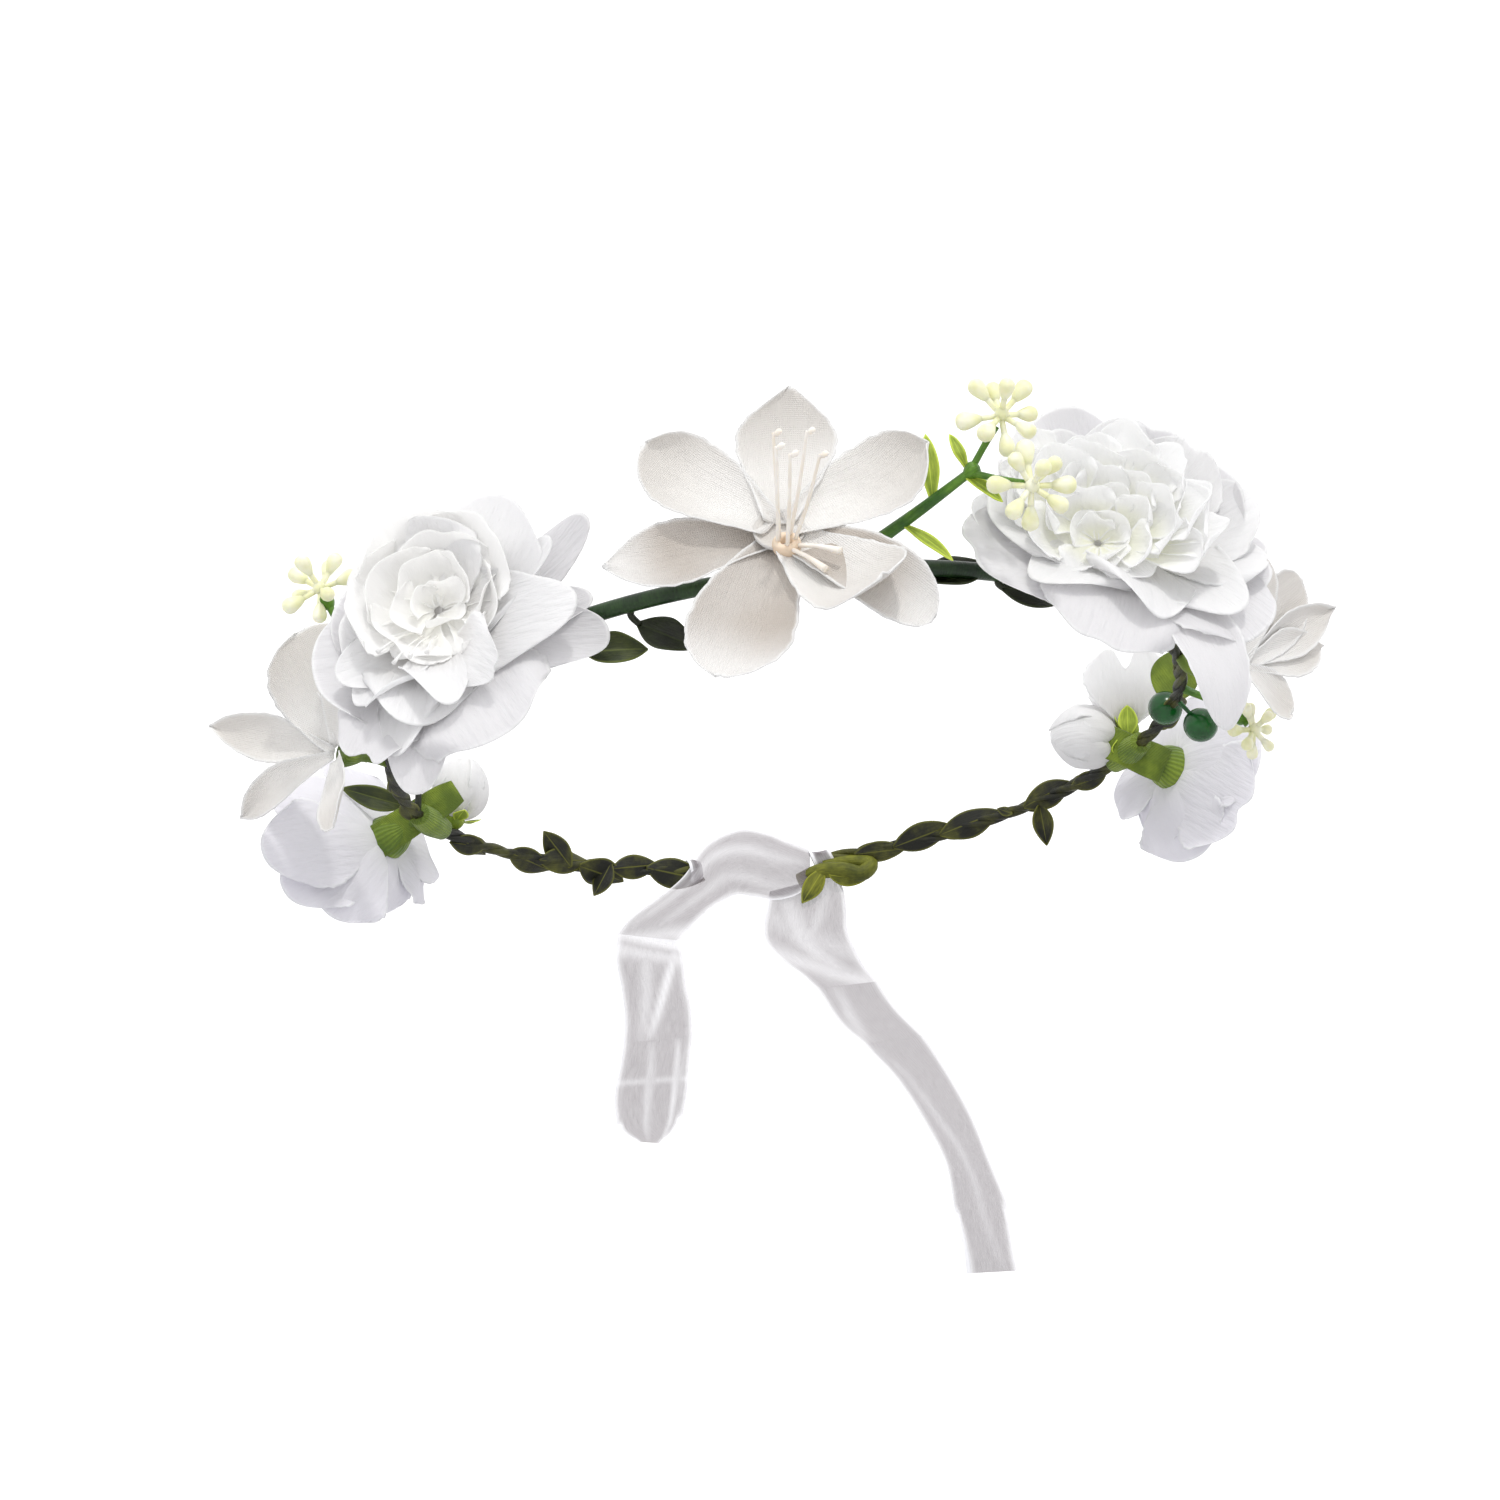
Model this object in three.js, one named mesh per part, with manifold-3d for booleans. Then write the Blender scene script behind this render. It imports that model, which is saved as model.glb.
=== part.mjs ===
// Flower crown: a C-shaped wire vine dressed with fabric flowers, leaves and plastic
// sprigs, tied at the back with a sheer ribbon whose two ends hang free.
// Millimetres, +Z up. The origin is the centre of the head opening. -Y is the front
// of the head, +Y is the back with the tie, and +X is to the right seen from the front.

import * as THREE from "three";
import { mergeVertices } from "three/addons/utils/BufferGeometryUtils.js";
import Module from "manifold-3d";

const wasm = await Module();
wasm.setup();

// ---- driving sizes -------------------------------------------------------------

const RING_R = 95; // centreline of the vine
const VINE_R = 2.0; // paper sleeve outside
const VINE_BORE = 1.15; // paper sleeve inside
const WIRE_R = 0.8; // iron wire in the sleeve
const TAPE_R = 3.1; // tape bands outside
const GAP = 0.3; // least clearance between neighbours
const TOUCH = 0.08; // clearance of a foot that rests on the vine
const VINE_START = -163; // degrees round the head, 0 at the front, + to the right
const VINE_END = 178;
const SLEEVE_SPLIT = 62; // the sleeve's joints, under a tape band each side

const PETAL_T = 0.7; // fabric petals
const PEG_R = 1.1; // flower pegs, through the holes of the petal layers
const HOLE_R = 1.6;

const RIBBON_W = 20;
const RIBBON_T = 0.8;
const TIE_IN = -4.1; // the tie lies this far inside the vine's centreline
const LEFT_Y = 84; // each tail hangs in a plane of its own
const RIGHT_Y = 90;
const LEFT_BEND = [-45, -19]; // x, z where each tail starts to hang, folds and ends
const LEFT_CREASE = [-44, -56];
const LEFT_END = [-47, -75];
const RIGHT_BEND = [3, -37];
const RIGHT_CREASE = [18, -68];
const RIGHT_END = [34, -118];

const BEAD_R = 4.2;

// ---- colours ---------------------------------------------------------------------

const COLOURS = {
  paper: [0x4a4a16, 0.85, 0],
  stem: [0x1f4d1c, 0.45, 0],
  wire: [0x6b6f72, 0.4, 0.9],
  tape: [0x6d8a1e, 0.8, 0],
  leaf: [0x2c3a12, 0.6, 0],
  lime: [0x93b02c, 0.6, 0],
  ivory: [0xf4f1ea, 0.9, 0],
  white: [0xf6f6f9, 0.9, 0],
  core: [0xf3efe2, 0.9, 0],
  hub: [0xe4cbb0, 0.7, 0],
  filament: [0xf6f4e6, 0.5, 0],
  sprig: [0xefeec2, 0.45, 0],
  bead: [0x0d5416, 0.3, 0],
  organza: [0xdcdbe4, 0.5, 0],
};

const crown = new THREE.Group();
crown.name = "flower_crown";

function material(key) {
  const [color, roughness, metalness] = COLOURS[key];
  return new THREE.MeshStandardMaterial({ color, roughness, metalness, name: key });
}

function add(parent, name, geometry, key) {
  const mesh = new THREE.Mesh(geometry, material(key));
  mesh.name = name;
  parent.add(mesh);
  return mesh;
}

// ---- shapes ----------------------------------------------------------------------

const V = (x, y, z) => new THREE.Vector3(x, y, z);
const rad = THREE.MathUtils.degToRad;

// A point on the vine's centreline, moved out by dr and up by dz.
function onRing(deg, dr = 0, dz = 0) {
  const a = rad(deg);
  return V((RING_R + dr) * Math.sin(a), -(RING_R + dr) * Math.cos(a), dz);
}

// A unit direction: round the head like onRing, and up from level.
function aim(around, up) {
  const a = rad(around);
  const e = rad(up);
  return V(Math.cos(e) * Math.sin(a), -Math.cos(e) * Math.cos(a), Math.sin(e));
}

// Part of the ring's circle, as a curve that ExtrudeGeometry can follow.
class RingArc extends THREE.Curve {
  constructor(from, to) {
    super();
    this.from = from;
    this.to = to;
  }

  getPoint(t, target = V(0, 0, 0)) {
    return target.copy(onRing(this.from + (this.to - this.from) * t));
  }
}

// A round section; sides counts the facets of half its outline.
function disc(radius, bore = 0, sides = 5) {
  const shape = new THREE.Shape();
  shape.absarc(0, 0, radius, 0, 2 * Math.PI);
  if (bore > 0) {
    const hole = new THREE.Path();
    hole.absarc(0, 0, bore, 0, 2 * Math.PI, true);
    shape.holes.push(hole);
  }
  return { shape, sides };
}

function along(curve, steps, { shape, sides }) {
  return new THREE.ExtrudeGeometry(shape, {
    steps,
    curveSegments: sides,
    bevelEnabled: false,
    extrudePath: curve,
  });
}

function rod(points, radius, steps = 6, sides = 4) {
  return along(new THREE.CatmullRomCurve3(points), steps, disc(radius, 0, sides));
}

// A thin solid over the sheet at(u, v), thickness t, closed round all its edges.
// With wrap, u closes on itself and only the v edges are closed.
function sheetSolid(at, nu, nv, t, wrap = false) {
  const cols = wrap ? nu : nu + 1;
  const spot = (i, j) => at(i / nu, j / nv);
  const du = 0.3 / nu;
  const dv = 0.3 / nv;
  const position = [];
  for (const side of [1, -1]) {
    for (let i = 0; i < cols; i++) {
      for (let j = 0; j <= nv; j++) {
        const u = i / nu;
        const v = j / nv;
        const lowU = wrap ? u - du : Math.max(0, u - du);
        const highU = wrap ? u + du : Math.min(1, u + du);
        const a = at(highU, v).sub(at(lowU, v));
        const b = at(u, Math.min(1, v + dv)).sub(at(u, Math.max(0, v - dv)));
        const n = a.cross(b).normalize();
        position.push(...spot(i, j).addScaledVector(n, (side * t) / 2).toArray());
      }
    }
  }
  const half = cols * (nv + 1);
  const id = (i, j, side) => (i % cols) * (nv + 1) + j + side * half;
  const index = [];
  const quad = (a, b, c, d) => index.push(a, b, c, a, c, d);
  for (let i = 0; i < nu; i++) {
    for (let j = 0; j < nv; j++) {
      quad(id(i, j, 0), id(i + 1, j, 0), id(i + 1, j + 1, 0), id(i, j + 1, 0));
      quad(id(i, j, 1), id(i, j + 1, 1), id(i + 1, j + 1, 1), id(i + 1, j, 1));
    }
    quad(id(i, 0, 0), id(i, 0, 1), id(i + 1, 0, 1), id(i + 1, 0, 0));
    quad(id(i, nv, 0), id(i + 1, nv, 0), id(i + 1, nv, 1), id(i, nv, 1));
  }
  if (!wrap) {
    for (let j = 0; j < nv; j++) {
      quad(id(0, j, 0), id(0, j + 1, 0), id(0, j + 1, 1), id(0, j, 1));
      quad(id(nu, j, 0), id(nu, j, 1), id(nu, j + 1, 1), id(nu, j + 1, 0));
    }
  }
  const geometry = new THREE.BufferGeometry();
  geometry.setAttribute("position", new THREE.Float32BufferAttribute(position, 3));
  geometry.setIndex(index);
  geometry.computeVertexNormals();
  return geometry;
}

// One die-cut layer of petals: a lobed dish about +Z with a hole for the peg.
function petalLayer({ petals, radius, notch, depth, power, base, ruffle = 0, curl = 0 }) {
  const at = (u, v) => {
    const a = 2 * Math.PI * u;
    const lobe = Math.pow(Math.abs(Math.cos((petals * a) / 2)), 0.7);
    const reach = radius * (notch + (1 - notch) * lobe);
    const r = HOLE_R + (reach - HOLE_R) * v;
    const s = r / radius;
    const wave = ruffle * Math.pow(s, 3) * Math.cos(petals * a * 2);
    const z = base + depth * Math.pow(s, power) - curl * Math.pow(s, 6) + wave;
    return V(r * Math.cos(a), r * Math.sin(a), z);
  };
  return sheetSolid(at, petals * 6, 4, PETAL_T, true);
}

function lathe(profile, sides = 12) {
  return new THREE.LatheGeometry(
    profile.map(([r, z]) => new THREE.Vector2(r, z)),
    sides,
  ).rotateX(Math.PI / 2);
}

// A closed egg from z low to high with its widest radius r at height widest.
function egg(r, low, high, widest, sides = 12) {
  const profile = [];
  for (let i = 0; i <= 8; i++) {
    const a = (Math.PI * i) / 8;
    const half = a < Math.PI / 2 ? widest - low : high - widest;
    profile.push([i === 0 || i === 8 ? 0 : r * Math.sin(a), widest - half * Math.cos(a)]);
  }
  return lathe(profile, sides);
}

// The green cup below a flower, with its stem down to the vine and its peg up. A flower
// whose axis passes clear of the vine has a crooked stem instead of a straight one.
const STEM_R = 1.3;
function calyx(group, under, cup, height, peg, crooked = false) {
  const foot = crooked ? -height - 1.6 : reach(group, height, STEM_R, under);
  const body = lathe([
    [0, foot],
    [STEM_R, foot],
    [STEM_R, -height],
    [cup * 0.55, -height * 0.72],
    [cup, -height * 0.15],
    [cup * 0.85, 0],
    [PEG_R, 0],
    [PEG_R, peg],
    [0, peg],
  ]);
  if (!crooked) return body;
  const tip = group.worldToLocal(onSurface(group.localToWorld(V(0, 0, foot)), under));
  return joined([body, rod([tip, V(0, 0, foot + 0.3), V(0, 0, foot + 1.6)], 0.9)]);
}

// A cluster of club-shaped buds, as one star-shaped solid.
function budCluster(radius) {
  const star = new THREE.IcosahedronGeometry(1, 0);
  const tips = [];
  const corner = star.getAttribute("position");
  for (let i = 0; i < corner.count; i++) {
    tips.push(V(corner.getX(i), corner.getY(i), corner.getZ(i)));
  }
  const ball = new THREE.IcosahedronGeometry(1, 3);
  const p = ball.getAttribute("position");
  for (let i = 0; i < p.count; i++) {
    const d = V(p.getX(i), p.getY(i), p.getZ(i)).normalize();
    const near = Math.max(...tips.map((tip) => tip.dot(d)));
    const out = THREE.MathUtils.smoothstep(near, 0.86, 0.97);
    d.multiplyScalar(radius * (0.42 + 0.58 * out));
    p.setXYZ(i, d.x, d.y, d.z);
  }
  ball.deleteAttribute("uv");
  ball.deleteAttribute("normal");
  return mergeVertices(ball, 1e-4);
}

// A pointed leaf along +Z, folded along its midrib and bent back by bend degrees.
function leafBlade(length, width, bend = 25) {
  const at = (u, v) => {
    const a = rad(bend) * v;
    const w = Math.max(0.7, width * Math.pow(Math.sin(Math.PI * (0.06 + 0.9 * v)), 0.9));
    const x = (u - 0.5) * w;
    const fold = 0.35 * Math.abs(x);
    const reach = length * v;
    return V(x, fold - reach * Math.sin(a) * 0.5, reach * Math.cos(a * 0.5));
  };
  return sheetSolid(at, 4, 7, 0.7);
}

// A strip of ribbon between two edge curves in the plane y = const, or any in space.
function ribbon(left, right, steps) {
  const a = new THREE.CatmullRomCurve3(left);
  const b = new THREE.CatmullRomCurve3(right);
  const at = (u, v) => a.getPoint(v).lerp(b.getPoint(v), u);
  return sheetSolid(at, 2, steps, RIBBON_T);
}

function toManifold(geometry) {
  const plain = geometry.clone();
  for (const key of Object.keys(plain.attributes)) {
    if (key !== "position") plain.deleteAttribute(key);
  }
  const merged = mergeVertices(plain, 1e-4);
  return new wasm.Manifold(
    new wasm.Mesh({
      numProp: 3,
      vertProperties: new Float32Array(merged.getAttribute("position").array),
      triVerts: new Uint32Array(merged.getIndex().array),
    }),
  );
}

function fromManifold(solid) {
  const mesh = solid.getMesh();
  const geometry = new THREE.BufferGeometry();
  const position = new THREE.Float32BufferAttribute(mesh.vertProperties, 3);
  geometry.setAttribute("position", position);
  geometry.setIndex(new THREE.Uint32BufferAttribute(mesh.triVerts, 1));
  geometry.computeVertexNormals();
  return geometry;
}

function joined(geometries) {
  return fromManifold(wasm.Manifold.union(geometries.map(toManifold)));
}

function bored(body, hole) {
  return fromManifold(wasm.Manifold.difference([body, hole].map(toManifold)));
}

// How far a point is from the vine's centreline, and the nearest place to it that
// just touches a sleeve or band of radius r.
const nearestAxis = (point) => point.clone().setZ(0).setLength(RING_R);
const fromAxis = (point) => point.distanceTo(nearestAxis(point));
function onSurface(point, r = VINE_R) {
  const axis = nearestAxis(point);
  return axis.addScaledVector(point.clone().sub(axis).normalize(), r + TOUCH);
}

// A group standing at a point with its +Z along a direction, turned by spin.
function stand(point, direction, spin = 0, parent = crown) {
  const group = new THREE.Group();
  group.position.copy(point);
  group.quaternion.setFromUnitVectors(V(0, 0, 1), direction.clone().normalize());
  group.rotateZ(rad(spin));
  parent.add(group);
  group.updateMatrixWorld();
  return group;
}

// The height, below a group's cup, of a stem foot that rests on a vine of radius under.
function reach(group, height, footR, under) {
  for (let z = -height; z > -height - 12; z -= 0.02) {
    const rim = Array.from({ length: 24 }, (_, i) => {
      const a = (Math.PI * i) / 12;
      return group.localToWorld(V(footR * Math.cos(a), footR * Math.sin(a), z));
    });
    const near = Math.min(fromAxis(group.localToWorld(V(0, 0, z))), ...rim.map(fromAxis));
    if (near < under + TOUCH) return z;
  }
  throw new Error("a stem misses the vine");
}

// ---- the vine --------------------------------------------------------------------

const JOINT = 0.25; // degrees between two sleeves
const wireArc = new RingArc(VINE_START + 0.6, VINE_END - 0.6);
const SLEEVES = {
  vine_front: [-SLEEVE_SPLIT + JOINT, SLEEVE_SPLIT - JOINT, "stem"],
  vine_left: [VINE_START, -SLEEVE_SPLIT - JOINT, "paper"],
  vine_right: [SLEEVE_SPLIT + JOINT, VINE_END, "paper"],
};
// The vine's two ends are folded into loops for the ribbon.
const LOOP_R = 2.6;
const LOOPS = { vine_left: VINE_START - 1.8, vine_right: VINE_END + 1.8 };
for (const [name, [from, to, key]] of Object.entries(SLEEVES)) {
  const steps = Math.round((to - from) / 4);
  const pieces = [along(new RingArc(from, to), steps, disc(VINE_R, VINE_BORE))];
  if (name in LOOPS) {
    const at = onRing(LOOPS[name]);
    pieces.push(new THREE.TorusGeometry(LOOP_R, 0.9, 8, 16).translate(at.x, at.y, at.z));
  }
  add(crown, name, joined(pieces), key);
}
add(crown, "vine_wire", along(wireArc, 60, disc(WIRE_R, 0, 3)), "wire");

const TAPES = {
  tape_left_joint: -SLEEVE_SPLIT,
  tape_right_joint: SLEEVE_SPLIT,
  tape_rear_left: -107,
  tape_rear_right: 117,
};
const TAPE_HALF = 3; // degrees each side
for (const [name, deg] of Object.entries(TAPES)) {
  const band = new RingArc(deg - TAPE_HALF, deg + TAPE_HALF);
  add(crown, name, along(band, 3, disc(TAPE_R, VINE_R + GAP)), "tape");
}

// ---- flowers ---------------------------------------------------------------------

// Each layer's base height leaves room for the layer under it all the way out.
const ROSE = [
  ["outer", { petals: 6, radius: 41, notch: 0.62, depth: 10, power: 1.7, base: 1, ruffle: 1.2 }],
  ["middle", { petals: 5, radius: 32, notch: 0.7, depth: 17, power: 1.8, base: 3.5, ruffle: 0.8 }],
  ["inner", { petals: 5, radius: 21, notch: 0.75, depth: 19, power: 2, base: 6 }],
];
const PEONY = [
  ["outer", { petals: 7, radius: 43, notch: 0.68, depth: 9, power: 1.7, base: 1, ruffle: 1.4 }],
  ["middle", { petals: 7, radius: 35, notch: 0.72, depth: 18, power: 1.8, base: 3.5, ruffle: 1 }],
  ["inner", { petals: 8, radius: 26, notch: 0.8, depth: 21, power: 1.9, base: 6.5, ruffle: 0.6 }],
];

function fullFlower(prefix, group, layers, coreR, coreTop) {
  add(group, `${prefix}_calyx`, calyx(group, VINE_R, 4.2, 5, 9), "lime");
  for (const [layer, size] of layers) {
    add(group, `${prefix}_${layer}_petals`, petalLayer(size), "white");
  }
  add(group, `${prefix}_core`, egg(coreR, 9.6, coreTop, coreTop * 0.66), "core");
}

fullFlower("rose", stand(onRing(-43, 8.5, -1), aim(-14, 12), 20), ROSE, 6.5, 21);
fullFlower("peony", stand(onRing(48, 9.5, 3), aim(24, 22), 5), PEONY, 9, 25);

// The open lilies: an outer and an inner layer on a peg, a hub ring and stamens.
const LILY = {
  outer: { petals: 4, radius: 46, notch: 0.3, depth: 15, power: 1.5, base: 1, curl: 3 },
  inner: { petals: 3, radius: 44, notch: 0.28, depth: 17, power: 1.4, base: 3.4, curl: 2 },
};
const lily = stand(onRing(2, 7.2, 2.8), aim(2, 16), 98);
add(lily, "lily_calyx", calyx(lily, VINE_R, 4, 4.5, 6), "lime");
add(lily, "lily_outer_petals", petalLayer(LILY.outer), "ivory");
add(lily, "lily_inner_petals", petalLayer(LILY.inner), "ivory");
const HUB = [
  [1.5, 4.6],
  [3.2, 5.1],
  [3.4, 7.4],
  [2.4, 8.2],
  [1.5, 7.6],
  [1.5, 4.6],
];
add(lily, "lily_hub", lathe(HUB), "hub");

const STAMENS = 5;
const filaments = [lathe([[0, 8.6], [1.2, 8.6], [1.2, 10.2], [0, 10.2]], 10)];
for (let i = 0; i < STAMENS; i++) {
  const a = rad(-20 + (i - 2) * 22);
  const lean = 5 + 2 * (i % 2);
  const foot = V(0.7 * Math.cos(a), 0.7 * Math.sin(a), 9.4);
  const tip = V(lean * Math.cos(a), lean * Math.sin(a), 31 + (i % 3));
  const mid = foot.clone().lerp(tip, 0.5).addScaledVector(V(0, 0, 1), 1);
  filaments.push(rod([foot, mid, tip], 0.5, 4, 3));
  const anther = new THREE.SphereGeometry(1, 8, 6).scale(0.9, 0.9, 1.7);
  filaments.push(anther.translate(tip.x, tip.y, tip.z + 0.8));
}
add(lily, "lily_stamens", joined(filaments), "filament");

const SIDE_LILY = { petals: 5, notch: 0.3, power: 1.3, base: 1 };
const sideLeft = stand(onRing(-79, 11, 2), aim(-52, 2), 30);
add(sideLeft, "side_lily_left_calyx", calyx(sideLeft, VINE_R, 3.2, 5, 7), "lime");
const leftSize = { ...SIDE_LILY, radius: 36, depth: 15 };
add(sideLeft, "side_lily_left_petals", petalLayer(leftSize), "ivory");
const sideRight = stand(onRing(77, 13, -7), aim(58, -4), 10);
add(sideRight, "side_lily_right_calyx", calyx(sideRight, VINE_R, 3.2, 5, 7, true), "lime");
const rightSize = { ...SIDE_LILY, radius: 27, depth: 13 };
add(sideRight, "side_lily_right_petals", petalLayer(rightSize), "ivory");

// The blossoms of the back half face out, away from the head.
const BLOSSOM = { petals: 5, notch: 0.72, depth: 13, power: 1.5, base: 1, ruffle: 1 };
const rearLeft = stand(onRing(-107, 10.4, -1), aim(-122, -10), 0);
add(rearLeft, "rear_left_calyx", calyx(rearLeft, TAPE_R, 5, 5.5, 8), "lime");
const rearLeftSize = { ...BLOSSOM, radius: 27, depth: 15 };
add(rearLeft, "rear_left_petals", petalLayer(rearLeftSize), "white");
add(rearLeft, "rear_left_core", egg(6, 8.6, 17, 14), "core");
const rearRight = stand(onRing(117, 10.4, -3), aim(132, -12), 30);
add(rearRight, "rear_right_calyx", calyx(rearRight, TAPE_R, 5, 5.5, 8), "lime");
const rearRightSize = { ...BLOSSOM, radius: 23 };
add(rearRight, "rear_right_petals", petalLayer(rearRightSize), "white");
add(rearRight, "rear_right_core", egg(6, 8.6, 17, 14), "core");

// Half-open buds on short stems, beside the rear blossoms.
function bud(name, point, direction, r, height) {
  const group = stand(point, direction);
  const foot = reach(group, 0, 1, VINE_R);
  const cup = [
    [0, foot],
    [1, foot],
    [1.2, 0],
    [r * 0.5, 1.4],
    [r * 0.42, 1.9],
    [0, 1.9],
  ];
  add(group, `${name}_cup`, lathe(cup), "lime");
  add(group, name, egg(r, 2.3, 2.3 + height, 2.3 + height * 0.55), "white");
}

bud("bud_rear_left", onRing(-118, -0.5, 7.2), aim(-100, 72), 6.5, 14);
bud("bud_inner_upper", onRing(112, -0.5, 7.2), aim(60, 82), 9, 19);
bud("bud_inner_lower", onRing(123, -7.5, 3.4), aim(-70, 10), 8.6, 17);

// ---- sprigs ----------------------------------------------------------------------

function sprig(prefix, under, stemPoints, heads) {
  const foot = onSurface(stemPoints[0], under);
  add(crown, `${prefix}_stem`, rod([foot, ...stemPoints], 0.9, 9), "stem");
  heads.forEach(([x, y, z, r], i) => {
    const head = add(crown, `${prefix}_buds_${i + 1}`, budCluster(r), "sprig");
    head.position.set(x, y, z);
  });
}

sprig("sprig_left", TAPE_R, [V(-88.5, -46.5, 5), V(-95, -48, 14), V(-99.5, -50, 23.5)], [
  [-102, -50.5, 31, 8],
]);
sprig("sprig_front", VINE_R, [V(25, -97, 4.6), V(35, -101.5, 8.5), V(45, -105.5, 13)], [
  [53.5, -112, 23, 8.6],
  [57, -117, 3.5, 8.4],
]);
sprig("sprig_right", VINE_R, [V(98.8, 2, -2.4), V(103, 1, -5.5), V(105.6, 0, -7.5)], [
  [111.5, 0, -15, 7],
]);

// ---- beads -----------------------------------------------------------------------

// One bead is threaded on the vine, the other hangs from it on a stalk.
function ball(point, r) {
  return new THREE.SphereGeometry(r, 14, 10).translate(point.x, point.y, point.z);
}
const threaded = ball(onRing(99.5, -1.2, 0.2), BEAD_R);
const bore = along(new RingArc(95, 104), 4, disc(VINE_R + GAP, 0, 8));
add(crown, "bead_upper", bored(threaded, bore), "bead");
const hung = onRing(95.5, 4.9, -7.6);
add(crown, "bead_lower", joined([ball(hung, BEAD_R), rod([onSurface(hung), hung], 0.5)]), "bead");

// ---- leaves ----------------------------------------------------------------------

// name: degrees round the head, out, up, aim round, aim up, spin, length, width
const LEAVES = {
  leaf_front_left: [-27, -5, -3.6, 70, -8, 90, 20, 10],
  leaf_front_dark: [-17, -5, -3.2, 88, -4, 90, 17, 8],
  leaf_front_right: [24, -5, 3.4, 122, 8, 90, 19, 9],
  leaf_side_right: [104, 0.6, 3.4, 84, 62, 0, 15, 9],
  leaf_rear_left: [-100, 4, 3.2, -62, 12, 0, 17, 8],
  leaf_hanging: [139, -0.5, -3.2, 150, -80, 90, 14, 7],
};
for (const [name, row] of Object.entries(LEAVES)) {
  const [deg, out, up, round, lift, spin, length, width] = row;
  const base = onRing(deg, out, up);
  const group = stand(base, aim(round, lift), spin);
  const foot = group.worldToLocal(onSurface(base));
  const stalk = rod([foot, V(0, 0, 0), V(0, 0, 1.2)], 0.5);
  add(group, name, joined([leafBlade(length, width), stalk]), "leaf");
}

// ---- the ribbon ------------------------------------------------------------------

// A straight piece between two x, z points, from depth y0 to depth y1.
function span(from, to, y0, y1, width = RIBBON_W, steps = 4) {
  const half = width / 2;
  const edge = (side) => [
    V(from[0] + side * half, y0, from[1]),
    V(to[0] + side * half, y1, to[1]),
  ];
  return ribbon(edge(-1), edge(1), steps);
}

// The tie: an arch over the gap, wrapped round both ends of the vine, and a slanted
// lead at each side down to where its tail starts to hang.
const ARCH = [
  [-153, -2],
  [-160, 5],
  [-168, 9],
  [-176, 6],
  [177, 1],
];
const archEdge = (dz) => ARCH.map(([deg, z]) => onRing(deg, TIE_IN, z + dz));
const wrap = (deg) => along(new RingArc(deg - 2.6, deg + 2.6), 3, disc(VINE_R + 1.9, VINE_R + GAP));
const tie = [
  ribbon(archEdge(-5), archEdge(4), 10),
  wrap(VINE_START + 3.4),
  wrap(VINE_END - 3.4),
  span([-40, -4], [LEFT_BEND[0], LEFT_BEND[1] + 0.5], 82.3, LEFT_Y, 16),
  span([-3, 1], [RIGHT_BEND[0], RIGHT_BEND[1] + 0.5], 91.2, RIGHT_Y, 15),
];
add(crown, "ribbon_tie", joined(tie), "organza");

const TAILS = {
  tail_left_upper: [LEFT_BEND, LEFT_CREASE],
  tail_left_lower: [LEFT_CREASE, LEFT_END],
  tail_right_upper: [RIGHT_BEND, RIGHT_CREASE],
  tail_right_lower: [RIGHT_CREASE, RIGHT_END],
};
for (const [name, [from, to]] of Object.entries(TAILS)) {
  const y = name.startsWith("tail_left") ? LEFT_Y : RIGHT_Y;
  add(crown, name, span([from[0], from[1] - 0.5], to, y, y), "organza");
}

export default crown;
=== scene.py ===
import math

import bpy
import numpy as np
from mathutils import Matrix, Vector


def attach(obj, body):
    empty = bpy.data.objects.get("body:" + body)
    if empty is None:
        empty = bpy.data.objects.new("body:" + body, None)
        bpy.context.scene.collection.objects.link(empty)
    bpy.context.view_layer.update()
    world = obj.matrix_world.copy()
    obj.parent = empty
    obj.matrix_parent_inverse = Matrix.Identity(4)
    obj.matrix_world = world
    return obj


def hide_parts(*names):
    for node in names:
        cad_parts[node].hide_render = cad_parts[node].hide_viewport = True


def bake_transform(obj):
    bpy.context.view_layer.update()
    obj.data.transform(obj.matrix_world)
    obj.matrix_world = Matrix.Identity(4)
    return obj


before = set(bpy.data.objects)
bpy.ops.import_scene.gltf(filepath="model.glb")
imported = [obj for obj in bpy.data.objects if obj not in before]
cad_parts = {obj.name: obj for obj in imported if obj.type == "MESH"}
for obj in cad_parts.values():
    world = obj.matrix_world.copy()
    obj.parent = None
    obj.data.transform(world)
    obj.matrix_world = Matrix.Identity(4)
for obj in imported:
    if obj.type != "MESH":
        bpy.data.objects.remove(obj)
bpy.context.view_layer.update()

MM = 0.001
RING_R = 95.0  # the vine's middle line, in millimetres like all the shapes below
RIM_FADE = 0.6  # how far in from a cut edge the painted highlight along the rim reaches
CLOSED_R = 0.001  # the radius at which a round shape counts as closed
SHORTEST_STALK = 0.3
NOTCH_WIDTH = 0.22  # as a share of the petal's half width
CUT_EDGE = 0.9  # the share of the half width beyond which the cut edge wanders
CALM_END = 5.0  # how far from its ends a ribbon's waves fade out
HEM = 0.6  # the width of a ribbon's bright woven edge
PEONY_SEED = 55
STRANDS, STRAND_R = 3, 0.78
STRAND_TWIST = 2 / 7.5  # in radians to the millimetre
DEGREES_PER_RADIAN = 57.3
TO_CAMERA = (0.0, -0.94, -0.34)
# thicknesses of the cut sheets
PETAL_T, CUP_T, VELVET_T, LEAF_T, PAPER_T, SEPAL_T = 0.16, 0.12, 0.35, 0.3, 0.25, 0.2
# round outlines as (place along, share of the radius)
DROP = ((0, 0), (0.1, 0.45), (0.35, 0.85), (0.65, 1), (0.88, 0.72), (1, 0))
CLUB = ((0, 0), (0.12, 0.42), (0.4, 0.8), (0.68, 1.0), (0.9, 0.74), (1, 0))
SCENE = bpy.context.scene


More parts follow.
